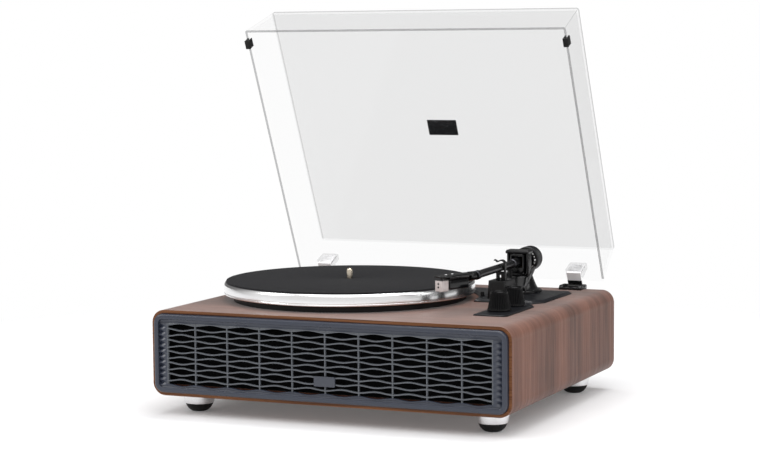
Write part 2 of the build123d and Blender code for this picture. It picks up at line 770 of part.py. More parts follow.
with BuildPart() as knob_plate:
    with BuildSketch(Plane.XY.offset(DECK_Z)) as knob_outline:
        with BuildLine():
            Polyline(
                (knob_plate_left, knob_plate_front),
                (knob_plate_right - 3, knob_plate_front),
                (knob_plate_right, knob_plate_front + 6),
                (knob_plate_right, CABINET_Y - 13),
                (plate_right - 12, knob_plate_back),
                (knob_plate_left, knob_plate_back),
                close=True,
            )
        make_face()
        fillet(knob_outline.vertices(), radius=1.2)
        with Locations(*[(KNOB_X, y) for y in KNOB_YS]):
            Circle(4.7, mode=Mode.SUBTRACT)
    extrude(amount=KNOB_PLATE_TOP - DECK_Z)
    chamfer(knob_plate.faces().sort_by(Axis.Z)[-1].edges().filter_by(GeomType.LINE), length=0.8)

STEM_RADIUS = 3.0
KNOB_GAP = 0.5
knob_bottom = KNOB_PLATE_TOP + KNOB_GAP
knob_top = knob_bottom + KNOB_HEIGHT
stem_bottom = CEILING_Z - 8.0

with BuildPart() as potentiometers:
    for knob_y in KNOB_YS:
        with BuildSketch(upright(KNOB_X, knob_y)):
            with BuildLine():
                Polyline(
                    (0, CEILING_Z - 11),
                    (8.5, CEILING_Z - 11),
                    (8.5, CEILING_Z),
                    (4.6, CEILING_Z),
                    (4.6, KNOB_PLATE_TOP),
                    (STEM_RADIUS + SHAFT_CLEARANCE, KNOB_PLATE_TOP),
                    (STEM_RADIUS + SHAFT_CLEARANCE, stem_bottom - 0.4),
                    (0, stem_bottom - 0.4),
                    close=True,
                )
            make_face()
        revolve(axis=vertical_axis(KNOB_X, knob_y))


def knob(x, y):
    """A tapered knob on its stem, hollow under its skirt, with a pointer groove on top."""
    with BuildPart() as turning_knob:
        with BuildSketch(upright(x, y)):
            with BuildLine():
                Polyline(
                    (0, stem_bottom),
                    (STEM_RADIUS, stem_bottom),
                    (STEM_RADIUS, knob_bottom + 6),
                    (KNOB_BASE_RADIUS - 3.5, knob_bottom + 6),
                    (KNOB_BASE_RADIUS - 2.5, knob_bottom),
                    (KNOB_BASE_RADIUS, knob_bottom),
                    (KNOB_TOP_RADIUS, knob_top - 1.0),
                    (KNOB_TOP_RADIUS - 0.9, knob_top),
                    (KNOB_TOP_RADIUS - 2.4, knob_top),
                    (KNOB_TOP_RADIUS - 3.0, knob_top - 0.8),
                    (0, knob_top - 0.8),
                    close=True,
                )
            make_face()
        revolve(axis=vertical_axis(x, y))
        with BuildSketch(Plane.XY.offset(knob_top)):
            with Locations((x, y - KNOB_TOP_RADIUS + 1.6)):
                Rectangle(1.2, 3.2)
        extrude(amount=-1.2, mode=Mode.SUBTRACT)
    return turning_knob


knob_front = knob(KNOB_X, KNOB_YS[0])
knob_rear = knob(KNOB_X, KNOB_YS[1])

with BuildPart() as speed_switch:
    with BuildSketch(Plane.XY.offset(CEILING_Z)):
        with Locations((SPEED_X, SPEED_Y)):
            Rectangle(12, 26)
            Rectangle(7.4, 19.4, mode=Mode.SUBTRACT)
    extrude(amount=-7)
    with BuildSketch(Plane.XY.offset(CEILING_Z - 7)):
        with Locations((SPEED_X, SPEED_Y)):
            Rectangle(12, 26)
    extrude(amount=-1.5)

with BuildPart() as speed_lever:
    with BuildSketch(Plane.XY.offset(CEILING_Z - 6.5)):
        with Locations((SPEED_X, SPEED_Y)):
            Rectangle(6.8, 10)
    extrude(amount=6)
    with BuildSketch(Plane.XY.offset(CEILING_Z - 0.5)):
        with Locations((SPEED_X, SPEED_Y)):
            RectangleRounded(3.8, 4.0, 0.8)
    extrude(amount=PLATE_TOP + 5.0 - CEILING_Z + 0.5)
    fillet(speed_lever.faces().sort_by(Axis.Z)[-1].edges(), radius=0.6)

# ---- Tone arm base, housing, rest and lift -----------------------------------------------

pivot_axis = vertical_axis(PIVOT_X, PIVOT_Y)
cone_top = DECK_Z + 23.5
housing_floor = cone_top + 3.0
yoke_top = ARM_Z + 9.6
cap_bottom = ARM_Z + 10.2
cap_top = ARM_Z + 14.4
ARM_SHAFT_RADIUS = 3.0
ARM_BUSH_RADIUS = 5.0
HOUSING_WIDTH = 29.5
HOUSING_DEPTH = 17.0
HOUSING_WALL = 3.0
YOKE_RADIUS = 11.0

with BuildPart() as arm_base:
    with BuildSketch(upright(PIVOT_X, PIVOT_Y)):
        with BuildLine():
            Polyline(
                (12.0, PLATE_TOP),
                (27.2, PLATE_TOP),
                (27.2, PLATE_TOP + 2.6),
                (25.6, PLATE_TOP + 4.4),
                (22.8, PLATE_TOP + 4.6),
                (16.3, cone_top - 0.8),
                (15.5, cone_top),
                (ARM_BUSH_RADIUS, cone_top),
                (ARM_BUSH_RADIUS, cone_top - 12),
                (8.0, cone_top - 12),
                (12.0, PLATE_TOP + 3),
                close=True,
            )
        make_face()
    revolve(axis=pivot_axis)

with BuildPart() as arm_bush:
    with BuildSketch(Plane.XY.offset(cone_top)):
        with Locations((PIVOT_X, PIVOT_Y)):
            Circle(ARM_BUSH_RADIUS)
            Circle(ARM_SHAFT_RADIUS + SHAFT_CLEARANCE, mode=Mode.SUBTRACT)
    extrude(amount=-12)

with BuildPart() as arm_housing:
    with BuildSketch(Plane.XY.offset(cone_top)):
        with Locations((PIVOT_X, PIVOT_Y)):
            RectangleRounded(HOUSING_WIDTH, HOUSING_DEPTH, 2)
            Circle(ARM_SHAFT_RADIUS + 0.5, mode=Mode.SUBTRACT)
    extrude(amount=housing_floor - cone_top)
    wall_depth = HOUSING_DEPTH - 5.5
    wall_x = (HOUSING_WIDTH - HOUSING_WALL) / 2
    with BuildSketch(Plane.XY.offset(housing_floor)):
        with Locations((PIVOT_X + wall_x, PIVOT_Y - 2.75), (PIVOT_X - wall_x, PIVOT_Y + 2.75)):
            RectangleRounded(HOUSING_WALL, wall_depth, 1.2)
    extrude(amount=cap_bottom - housing_floor)

with BuildPart() as arm_housing_cap:
    with BuildSketch(Plane.XY.offset(cap_bottom)):
        with Locations((PIVOT_X, PIVOT_Y)):
            RectangleRounded(HOUSING_WIDTH, HOUSING_DEPTH, 2)
    extrude(amount=cap_top - cap_bottom)
    chamfer(arm_housing_cap.faces().sort_by(Axis.Z)[-1].edges(), length=1.5)
    with BuildSketch(Plane.XY.offset(cap_bottom)):
        with Locations((PIVOT_X, PIVOT_Y)):
            Circle(2 + SHAFT_CLEARANCE)
    extrude(amount=2.8, mode=Mode.SUBTRACT)

rest_along = 70.0
rest_centre = Vector(PIVOT_X, PIVOT_Y, 0) + arm_forward * rest_along
lift_along = 33.5
lift_centre = Vector(PIVOT_X, PIVOT_Y, 0) + arm_forward * lift_along
REST_TOP = DECK_Z + 25.0
REST_WIDTH = 21.0
REST_FRONT = rest_centre.Y - 8.0
REST_BACK = rest_centre.Y + 28.0
LIFT_ROD_RADIUS = 2.0
LIFT_TUBE_RADIUS = 4.4
lift_tube_top = DECK_Z + 22.0
LEVER_Z = DECK_Z + 11.5

with BuildPart() as arm_rest_block:
    with BuildSketch(Plane.XY.offset(PLATE_TOP)):
        with Locations((rest_centre.X - 2.0, (REST_FRONT + REST_BACK) / 2)):
            RectangleRounded(REST_WIDTH + 2.4, REST_BACK - REST_FRONT + 2.4, 2)
    with BuildSketch(Plane.XY.offset(REST_TOP)):
        with Locations((rest_centre.X - 2.0, (REST_FRONT + REST_BACK) / 2)):
            RectangleRounded(REST_WIDTH, REST_BACK - REST_FRONT, 2)
    loft()
    with BuildSketch(Plane.XY.offset(PLATE_TOP)):
        with Locations((lift_centre.X, lift_centre.Y)):
            Circle(LIFT_TUBE_RADIUS + 0.6)
    extrude(amount=lift_tube_top - PLATE_TOP)
    with BuildSketch(Plane.XY.offset(PLATE_TOP)):
        with Locations((lift_centre.X, (lift_centre.Y + REST_BACK) / 2)):
            Rectangle(8, lift_centre.Y - REST_BACK + 0.8)
    extrude(amount=lift_tube_top - PLATE_TOP - 4)
    with BuildSketch(Plane.XY.offset(PLATE_TOP + 1.5)):
        with Locations((lift_centre.X, lift_centre.Y)):
            Circle(LIFT_ROD_RADIUS + SHAFT_CLEARANCE)
    extrude(amount=30, mode=Mode.SUBTRACT)
    lever_hole = Plane(
        origin=(lift_centre.X, lift_centre.Y, LEVER_Z), x_dir=(0, 1, 0), z_dir=(1, 0, 0)
    )
    with BuildSketch(lever_hole):
        Circle(1.5 + SHAFT_CLEARANCE)
    extrude(amount=12, mode=Mode.SUBTRACT)

CLIP_GAP = 0.4
CLIP_DEPTH = 6.0
clip_wall = TUBE_RADIUS + CLIP_GAP
with BuildPart() as arm_rest_clip:
    with BuildSketch(arm_section(rest_along - CLIP_DEPTH / 2)):
        # Seen from the front of the arm, x runs to the pivot's right; y is up from the arm line.
        with BuildLine():
            Polyline(
                (-4.5, REST_TOP - ARM_Z),
                (-4.5, -clip_wall - 2.0),
                (-6.0, -clip_wall - 1.4),
                (-6.0, -clip_wall),
                (clip_wall, -clip_wall),
                (clip_wall, 5.4),
            )
            ThreePointArc((clip_wall, 5.4), (2.6, 7.6), (-1.0, 7.0))
            Polyline(
                (-1.0, 7.0),
                (-3.6, 6.0),
                (-6.4, 8.6),
                (-7.4, 7.6),
            )
            Polyline((-7.4, 7.6), (-7.0, 9.6), (-3.6, 7.6), (-1.4, 8.4))
            ThreePointArc((-1.4, 8.4), (3.4, 9.0), (clip_wall + 1.6, 5.8))
            Polyline(
                (clip_wall + 1.6, 5.8),
                (clip_wall + 1.6, REST_TOP - ARM_Z),
                (1.6, REST_TOP - ARM_Z),
                (1.6, -clip_wall - 3.6),
                (-1.6, -clip_wall - 3.6),
                (-1.6, REST_TOP - ARM_Z),
                (-4.5, REST_TOP - ARM_Z),
            )
        make_face()
    extrude(amount=CLIP_DEPTH)

PLATFORM_TOP = ARM_Z - TUBE_RADIUS - 0.3
PLATFORM_THICKNESS = 2.4
LIFT_SWEEP = (-44.0, 4.0)

with BuildPart() as cue_platform:
    with BuildSketch(arm.offset(PLATFORM_TOP - PLATFORM_THICKNESS - ARM_Z)):
        with BuildLine():
            CenterArc((0, 0), lift_along + 2, -90 + LIFT_SWEEP[0], LIFT_SWEEP[1] - LIFT_SWEEP[0])
            CenterArc((0, 0), lift_along - 2, -90 + LIFT_SWEEP[0], LIFT_SWEEP[1] - LIFT_SWEEP[0])
            for turn in LIFT_SWEEP:
                heading = radians(-90 + turn)
                Line(
                    ((lift_along - 2) * cos(heading), (lift_along - 2) * sin(heading)),
                    ((lift_along + 2) * cos(heading), (lift_along + 2) * sin(heading)),
                )
        make_face()
    extrude(amount=PLATFORM_THICKNESS)
    with BuildSketch(Plane.XY.offset(LEVER_Z + 2.0)):
        with Locations((lift_centre.X, lift_centre.Y)):
            Circle(LIFT_ROD_RADIUS)
    extrude(amount=PLATFORM_TOP - LEVER_Z - 2.5)

LEVER_X = 146.0
LEVER_TILT = 34.0
LEVER_LENGTH = 38.0
with BuildPart() as cue_lever:
    lever_side = Plane(origin=(LEVER_X - 1.5, lift_centre.Y, LEVER_Z), x_dir=(0, 1, 0), z_dir=(1, 0, 0))
    with BuildSketch(lever_side):
        Circle(3.2)
    extrude(amount=3)
    tilt = radians(LEVER_TILT)
    with BuildSketch(Plane(origin=lever_side.origin, x_dir=(0, cos(tilt), sin(tilt)), z_dir=(1, 0, 0))):
        with Locations((LEVER_LENGTH / 2, 0)):
            Rectangle(LEVER_LENGTH, 2.4)
        with Locations((LEVER_LENGTH - 4, 0)):
            RectangleRounded(12, 4.4, 2)
    extrude(amount=3)
    with BuildSketch(lever_side):
        Circle(1.5)
    extrude(amount=-(LEVER_X - 1.5 - lift_centre.X - 2.4))

# ---- Tone arm, moving pieces -------------------------------------------------------------

CHEEK_GAP = 6.6
PITCH_PIN_RADIUS = 1.5

with BuildPart() as arm_yoke:
    with BuildSketch(arm.offset(housing_floor + 0.5 - ARM_Z)):
        Circle(YOKE_RADIUS)
    extrude(amount=yoke_top - housing_floor - 0.5)
    with BuildSketch(arm.offset(-NECK_RADIUS - 1.0)):
        Rectangle(2 * CHEEK_GAP, 40)
    extrude(amount=2 * NECK_RADIUS + 2.2, mode=Mode.SUBTRACT)
    with BuildSketch(arm_section(0)):
        Rectangle(2 * CHEEK_GAP, 2 * NECK_RADIUS + 2)
    extrude(amount=14, both=True, mode=Mode.SUBTRACT)
    with BuildSketch(Plane(origin=arm.origin, x_dir=-arm.y_dir, z_dir=arm.x_dir)):
        Circle(PITCH_PIN_RADIUS + SHAFT_CLEARANCE)
    extrude(amount=14, both=True, mode=Mode.SUBTRACT)
    with BuildSketch(arm.offset(housing_floor + 0.5 - ARM_Z)):
        Circle(ARM_SHAFT_RADIUS)
    extrude(amount=-(housing_floor + 0.5 - cone_top + 12))
    with BuildSketch(arm.offset(yoke_top - ARM_Z)):
        Circle(2)
    extrude(amount=cap_bottom - yoke_top + 2.4)

NECK_BACK = -6.0
NECK_FRONT = 28.0
STUB_END = -54.0
with BuildPart() as arm_tube:
    with BuildSketch(arm_section(NECK_BACK)):
        Circle(NECK_RADIUS)
    extrude(amount=NECK_FRONT - NECK_BACK)
    chamfer(arm_tube.edges().filter_by(GeomType.CIRCLE), length=0.8)
    with BuildSketch(arm_section(NECK_FRONT)):
        Circle(TUBE_RADIUS)
    extrude(amount=TUBE_LENGTH - NECK_FRONT)
    with BuildSketch(arm_section(TUBE_LENGTH - 9)):
        Circle(5.3)
    extrude(amount=9)
    with BuildSketch(arm_section(STUB_END)):
        Circle(STUB_RADIUS)
    extrude(amount=NECK_BACK - STUB_END)
    with BuildSketch(Plane(origin=arm.origin, x_dir=-arm.y_dir, z_dir=arm.x_dir)):
        Circle(PITCH_PIN_RADIUS)
    extrude(amount=14, both=True, mode=Mode.SUBTRACT)

with BuildPart() as arm_pivot_pins:
    for side in (-1, 1):
        pin_start = arm.origin + arm.x_dir * (1.5 * side)
        with BuildSketch(Plane(origin=pin_start, x_dir=-arm.y_dir, z_dir=arm.x_dir * side)):
            Circle(PITCH_PIN_RADIUS)
        extrude(amount=8.8)

shell_top = 4.2
SHELL_WIDTH = 16.0
SHELL_START = 3.0
SHELL_END = 62.0
with BuildPart() as headshell:
    with BuildSketch(shell_section(SHELL_START)):
        Circle(5.3)
    extrude(amount=9)
    with BuildSketch(headshell_plane.offset(shell_top - 2.0)):
        with BuildLine():
            Polyline(
                (-4.5, -SHELL_START - 4),
                (-SHELL_WIDTH / 2, -SHELL_START - 16),
                (-SHELL_WIDTH / 2, -SHELL_END + 4),
                (-SHELL_WIDTH / 2 + 3, -SHELL_END),
                (SHELL_WIDTH / 2 - 3, -SHELL_END),
                (SHELL_WIDTH / 2, -SHELL_END + 4),
                (SHELL_WIDTH / 2, -SHELL_START - 16),
                (4.5, -SHELL_START - 4),
                close=True,
            )
        make_face()
        with Locations((0, -SHELL_END + 14), (0, -SHELL_END + 24)):
            SlotOverall(9, 2.4, rotation=0, mode=Mode.SUBTRACT)
    extrude(amount=2.0)
    with BuildSketch(headshell_plane.offset(shell_top - 2.0)):
        with Locations((-SHELL_WIDTH / 2 + 0.8, -34), (SHELL_WIDTH / 2 - 0.8, -34)):
            Rectangle(1.6, 30)
    extrude(amount=-3.4)
    with BuildSketch(headshell_plane.offset(shell_top - 1.4)):
        with Locations((SHELL_WIDTH / 2 + 5, -SHELL_END + 18)):
            SlotOverall(14, 3.6)
    extrude(amount=1.2)

cartridge_top = shell_top - 2.0
cartridge_bottom = STYLUS_TIP_Z + 3.0 - ARM_Z
with BuildPart() as cartridge:
    with BuildSketch(headshell_plane.offset(cartridge_top)):
        with Locations((0, -37)):
            Rectangle(12.4, 24)
    extrude(amount=-3.4)
    with BuildSketch(headshell_plane.offset(cartridge_top - 3.4)):
        with Locations((0, -34)):
            RectangleRounded(15, 30, 1)
    extrude(amount=cartridge_bottom - cartridge_top + 3.4)

with BuildPart() as stylus:
    stylus_top = cartridge_top - 3.4
    with BuildSketch(headshell_plane.offset(stylus_top)):
        with Locations((0, -54.8)):
            RectangleRounded(10.8, 11.6, 1.2)
    extrude(amount=STYLUS_TIP_Z + 1.2 - ARM_Z - stylus_top)
    with BuildSketch(headshell_plane.offset(STYLUS_TIP_Z + 1.2 - ARM_Z)):
        with Locations((0, -STYLUS_REACH + 0.6)):
            Circle(0.8)
    with BuildSketch(headshell_plane.offset(STYLUS_TIP_Z - ARM_Z)):
        with Locations((0, -STYLUS_REACH + 0.6)):
            Circle(0.25)
    loft()

with BuildPart() as weight_insert:
    with BuildSketch(arm_section(-WEIGHT_FRONT - WEIGHT_LENGTH + 2)):
        Circle(INSERT_RADIUS)
        Circle(STUB_RADIUS + SHAFT_CLEARANCE, mode=Mode.SUBTRACT)
    extrude(amount=WEIGHT_LENGTH - 2)

with BuildPart() as counterweight:
    with BuildSketch(arm_section(-WEIGHT_FRONT - WEIGHT_LENGTH)):
        Circle(WEIGHT_RADIUS)
        Circle(INSERT_RADIUS + SHAFT_CLEARANCE, mode=Mode.SUBTRACT)
    extrude(amount=WEIGHT_LENGTH)
    fillet(counterweight.edges().filter_by(GeomType.CIRCLE).group_by(SortBy.RADIUS)[-1], radius=1.2)

DIAL_LENGTH = 6.0
with BuildPart() as weight_dial:
    with BuildSketch(arm_section(-WEIGHT_FRONT + 0.3)):
        Circle(WEIGHT_RADIUS - 1.8)
        Circle(INSERT_RADIUS + 0.3, mode=Mode.SUBTRACT)
    extrude(amount=DIAL_LENGTH - 0.3, taper=12)

# ---- Lid ---------------------------------------------------------------------------------

lid_front = LID_BACK - LID_DEPTH
lid_top = LID_RIM + LID_HEIGHT


def lid_outline(height, inset, corner):
    """The lid's outline at a height above the hinge line, set in by a wall."""
    share = (height - LID_RIM) / LID_HEIGHT
    back = LID_BACK - LID_DRAFT_BACK * share - inset
    ahead = lid_front + LID_DRAFT_FRONT * share + inset
    width = LID_WIDTH - 2 * LID_DRAFT_SIDE * share - 2 * inset
    with Locations((0, (back + ahead) / 2)):
        RectangleRounded(width, back - ahead, corner)


with BuildPart() as lid:
    with BuildSketch(lid_plane.offset(LID_RIM)):
        lid_outline(LID_RIM, 0, 3)
    with BuildSketch(lid_plane.offset(lid_top)):
        lid_outline(lid_top, 0, 3)
    loft()
    with BuildSketch(lid_plane.offset(LID_RIM)):
        lid_outline(LID_RIM, LID_WALL, 1)
    with BuildSketch(lid_plane.offset(lid_top - LID_WALL)):
        lid_outline(lid_top - LID_WALL, LID_WALL, 1)
    loft(mode=Mode.SUBTRACT)
    with BuildSketch(lid_plane.offset(LID_RIM)):
        with Locations((-HINGE_X, LID_BACK), (HINGE_X, LID_BACK)):
            Rectangle(33, 12)
    extrude(amount=2.2, mode=Mode.SUBTRACT)

with BuildPart() as lid_plate:
    with BuildSketch(lid_plane.offset(lid_top)):
        with Locations((-0.5, (LID_BACK + lid_front) / 2 - 3)):
            RectangleRounded(39, 21, 1)
    extrude(amount=0.8)

BUMPER_LENGTH = 11.0
BUMPER_THICKNESS = 1.8
bumper_y = LID_BACK - LID_DEPTH + 18.0
with BuildPart() as lid_bumpers:
    for side in (-1, 1):
        bumper_x = side * (LID_WIDTH / 2 - LID_WALL / 2)
        with BuildSketch(lid_plane.offset(LID_RIM - 4.2)):
            with Locations((bumper_x, bumper_y)):
                RectangleRounded(LID_WALL + 2 * BUMPER_THICKNESS, BUMPER_LENGTH, 1)
        extrude(amount=9.4)
    add(lid.part, mode=Mode.SUBTRACT)

# ---- Hinges ------------------------------------------------------------------------------

BASE_WIDTH = 28.4
BASE_PLATE_TOP = DECK_Z + 2.5
BARREL_ROOM = 1.4                                     # base plate ends short of the barrel
CHEEK_WIDTH = (BASE_WIDTH - LEAF_WIDTH) / 2 - 0.3

with BuildPart() as hinge_bases:
    for hinge_x in hinge_xs:
        with BuildSketch(Plane.XY.offset(DECK_Z)):
            with Locations((hinge_x, (HINGE_BASE_FRONT + BACK_Y - BARREL_ROOM) / 2)):
                Rectangle(BASE_WIDTH, BACK_Y - BARREL_ROOM - HINGE_BASE_FRONT)
        extrude(amount=BASE_PLATE_TOP - DECK_Z)
        for side in (-1, 1):
            cheek_x = hinge_x + side * (BASE_WIDTH - CHEEK_WIDTH) / 2
            with BuildSketch(Plane(origin=(cheek_x, 0, 0), x_dir=(0, 1, 0), z_dir=(1, 0, 0))):
                with BuildLine():
                    Polyline(
                        (BACK_Y, DECK_Z),
                        (HINGE_BASE_FRONT, DECK_Z),
                        (HINGE_BASE_FRONT, DECK_Z + 3),
                        (HINGE_BASE_FRONT + 3, DECK_Z + 5.4),
                        (HINGE_Y, DECK_Z + 5.4),
                        (HINGE_Y, DECK_Z),
                        close=True,
                    )
                make_face()
                with Locations((HINGE_Y, HINGE_Z)):
                    Circle(3.3)
                    Circle(PIN_RADIUS, mode=Mode.SUBTRACT)
            extrude(amount=CHEEK_WIDTH / 2, both=True)
    with BuildSketch(Plane.XY.offset(BASE_PLATE_TOP)):
        with Locations(*hinge_screw_places):
            Circle(1.5)
    extrude(amount=-(BASE_PLATE_TOP - DECK_Z), mode=Mode.SUBTRACT)

with BuildPart() as wood_screws:
    for screw_x, screw_z in panel_screw_places:
        with BuildSketch(along_depth(screw_x, MIDDLE_Z + screw_z)):
            with BuildLine():
                Polyline(
                    (0, rear_face_y - 9),
                    (1.5, rear_face_y - 9),
                    (1.5, rear_face_y),
                    (2.8, rear_face_y),
                )
                dome(2.8, rear_face_y, 0.4)
                Line((0, rear_face_y + 0.4), (0, rear_face_y - 9))
            make_face()
        revolve(axis=depth_axis(screw_x, MIDDLE_Z + screw_z))
    for screw_x, screw_y in hinge_screw_places:
        with BuildSketch(upright(screw_x, screw_y)):
            with BuildLine():
                Polyline(
                    (0, DECK_Z - 9),
                    (1.5, DECK_Z - 9),
                    (1.5, BASE_PLATE_TOP),
                    (2.8, BASE_PLATE_TOP),
                )
                dome(2.8, BASE_PLATE_TOP, 0.4)
                Line((0, BASE_PLATE_TOP + 0.4), (0, DECK_Z - 9))
            make_face()
        revolve(axis=vertical_axis(screw_x, screw_y))

with BuildPart() as hinge_pins:
    for hinge_x in hinge_xs:
        with BuildSketch(Plane(origin=(hinge_x, HINGE_Y, HINGE_Z), x_dir=(0, 1, 0), z_dir=(1, 0, 0))):
            Circle(PIN_RADIUS)
        extrude(amount=BASE_WIDTH / 2, both=True)

LEAF_BOTTOM = 1.2
LEAF_TOP = 3.0
LEAF_REACH = 19.0                                     # forwards from the hinge line, lid shut
TONGUE_THICKNESS = 2.4
TONGUE_TOP = 21.5
SOCKET_BOTTOM = 4.6
SOCKET_TOP = 24.0
SOCKET_WIDTH = 21.6
SOCKET_SKIN = 1.8
back_slope = LID_DRAFT_BACK / LID_HEIGHT


def back_wall_inside(height):
    """How far ahead of the hinge line the inner face of the back wall is, at a height."""
    return -LID_BACK + LID_WALL + back_slope * (height - LID_RIM)


with BuildPart() as hinge_leaves:
    for hinge_x in hinge_xs:
        with BuildSketch(side_of_lid(hinge_x)):
            Circle(3.0)
            with Locations((LEAF_REACH / 2, (LEAF_BOTTOM + LEAF_TOP) / 2)):
                Rectangle(LEAF_REACH, LEAF_TOP - LEAF_BOTTOM)
            with Locations((LEAF_REACH - TONGUE_THICKNESS / 2, (LEAF_BOTTOM + TONGUE_TOP) / 2)):
                Rectangle(TONGUE_THICKNESS, TONGUE_TOP - LEAF_BOTTOM)
            Circle(PIN_RADIUS + PIN_CLEARANCE, mode=Mode.SUBTRACT)
        extrude(amount=LEAF_WIDTH / 2, both=True)

with BuildPart() as hinge_sockets:
    for hinge_x in hinge_xs:
        with BuildSketch(side_of_lid(hinge_x)):
            with BuildLine():
                Polyline(
                    (back_wall_inside(SOCKET_BOTTOM), SOCKET_BOTTOM),
                    (back_wall_inside(SOCKET_TOP), SOCKET_TOP),
                    (LEAF_REACH + 1.0, SOCKET_TOP),
                    (LEAF_REACH + 2.6, SOCKET_BOTTOM),
                    close=True,
                )
            make_face()
        extrude(amount=SOCKET_WIDTH / 2, both=True)
    for hinge_x in hinge_xs:
        with BuildSketch(side_of_lid(hinge_x)):
            with Locations((LEAF_REACH - TONGUE_THICKNESS / 2, TONGUE_TOP / 2)):
                Rectangle(TONGUE_THICKNESS, TONGUE_TOP)
        extrude(amount=LEAF_WIDTH / 2, both=True, mode=Mode.SUBTRACT)

# ---- Write every piece -------------------------------------------------------------------

pieces = {
    "cabinet_shell": cabinet_shell,
    "front_baffle": front_baffle,
    "front_grille": front_grille,
    "grille_badge": grille_badge,
    "grille_cloth": grille_cloth,
    "foot_rings": foot_rings,
    "foot_pads": foot_pads,
    "foot_screws": foot_screws,
    "speaker_baskets": speaker_baskets,
    "speaker_magnets": speaker_magnets,
    "speaker_surrounds": speaker_surrounds,
    "speaker_cone_left": speaker_cone_left,
    "speaker_cone_right": speaker_cone_right,
    "board_standoffs": board_standoffs,
    "amplifier_board": amplifier_board,
    "rear_panel": rear_panel,
    "output_jacks": output_jacks,
    "power_inlet": power_inlet,
    "power_rocker": power_rocker,
    "wood_screws": wood_screws,
    "platter_skirt": platter_skirt,
    "bearing_housing": bearing_housing,
    "bearing_bush": bearing_bush,
    "spindle": spindle,
    "platter": platter,
    "slipmat": slipmat,
    "drive_belt": drive_belt,
    "motor": motor,
    "motor_pulley": motor_pulley,
    "arm_plate": arm_plate,
    "knob_plate": knob_plate,
    "potentiometers": potentiometers,
    "knob_front": knob_front,
    "knob_rear": knob_rear,
    "speed_switch": speed_switch,
    "speed_lever": speed_lever,
    "arm_base": arm_base,
    "arm_bush": arm_bush,
    "arm_housing": arm_housing,
    "arm_housing_cap": arm_housing_cap,
    "arm_rest_block": arm_rest_block,
    "arm_rest_clip": arm_rest_clip,
    "cue_platform": cue_platform,
    "cue_lever": cue_lever,
    "arm_yoke": arm_yoke,
    "arm_tube": arm_tube,
    "arm_pivot_pins": arm_pivot_pins,
    "headshell": headshell,
    "cartridge": cartridge,
    "stylus": stylus,
    "weight_insert": weight_insert,
    "counterweight": counterweight,
    "weight_dial": weight_dial,
    "lid": lid,
    "lid_plate": lid_plate,
    "lid_bumpers": lid_bumpers,
    "hinge_bases": hinge_bases,
    "hinge_pins": hinge_pins,
    "hinge_leaves": hinge_leaves,
    "hinge_sockets": hinge_sockets,
}

os.makedirs("parts", exist_ok=True)
for label, piece in pieces.items():
    piece.part.label = label
    export_step(piece.part, f"parts/{label}.step")
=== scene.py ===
import math

import bmesh
import bpy
import numpy as np
from mathutils import Matrix, Vector


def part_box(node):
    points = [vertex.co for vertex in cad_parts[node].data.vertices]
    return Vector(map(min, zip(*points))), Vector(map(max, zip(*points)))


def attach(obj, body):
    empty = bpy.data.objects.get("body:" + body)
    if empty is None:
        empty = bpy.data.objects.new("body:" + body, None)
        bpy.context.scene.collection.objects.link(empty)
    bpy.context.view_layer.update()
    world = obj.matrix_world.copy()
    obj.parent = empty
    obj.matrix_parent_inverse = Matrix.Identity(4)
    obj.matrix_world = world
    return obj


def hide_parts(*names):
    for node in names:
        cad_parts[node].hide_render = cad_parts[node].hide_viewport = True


# A record player with speakers behind a wavy grille, a belt-driven platter and a clear lid.
# Metres, +Z up, the grille towards -Y.
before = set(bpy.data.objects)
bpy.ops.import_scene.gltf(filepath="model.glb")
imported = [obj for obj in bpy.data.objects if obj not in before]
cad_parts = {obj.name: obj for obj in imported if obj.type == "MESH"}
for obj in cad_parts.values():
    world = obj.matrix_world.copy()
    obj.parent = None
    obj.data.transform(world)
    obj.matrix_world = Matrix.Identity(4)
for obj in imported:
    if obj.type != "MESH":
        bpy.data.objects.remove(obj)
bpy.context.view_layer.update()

# ---- Camera --------------------------------------------------------------------------------
# A long lens a little above the deck, to the right of the grille's middle.

azimuth, elevation, roll = math.radians(23.89), math.radians(5.0), math.radians(-0.48)
side = Vector((math.cos(azimuth), math.sin(azimuth), 0))
back = Vector(
    (
        math.sin(azimuth) * math.cos(elevation),
        -math.cos(azimuth) * math.cos(elevation),
        math.sin(elevation),
    )
)
upward = back.cross(side)
right = side * math.cos(roll) + upward * math.sin(roll)
top = upward * math.cos(roll) - side * math.sin(roll)
camera_data = bpy.data.cameras.new("camera")
camera_data.lens = 101.2
camera_data.sensor_width = 36
camera_data.clip_end = 50
camera = bpy.data.objects.new("camera", camera_data)
turn = Matrix((right, top, back)).transposed().to_4x4()
camera.matrix_world = Matrix.Translation((1.0075, -2.3297, 0.4300)) @ turn
bpy.context.collection.objects.link(camera)
bpy.context.scene.camera = camera

# ---- Studio: floor, surround and lamps -----------------------------------------------------
# White table surface under an even white surround, with soft boxes from the left, right
# and above so that the metal and the black plastic pick up clean edges.


def shader_for(name, colour, roughness, **sockets):
    """A new material, its shader and its link function; sockets sets the rest by name."""
    material = bpy.data.materials.new(name)
    material.use_nodes = True
    shader = material.node_tree.nodes["Principled BSDF"]
    shader.inputs["Base Color"].default_value = (*colour, 1)
    shader.inputs["Roughness"].default_value = roughness
    for socket, value in sockets.items():
        shader.inputs[socket.replace("_", " ")].default_value = value
    return material, shader, material.node_tree.links.new


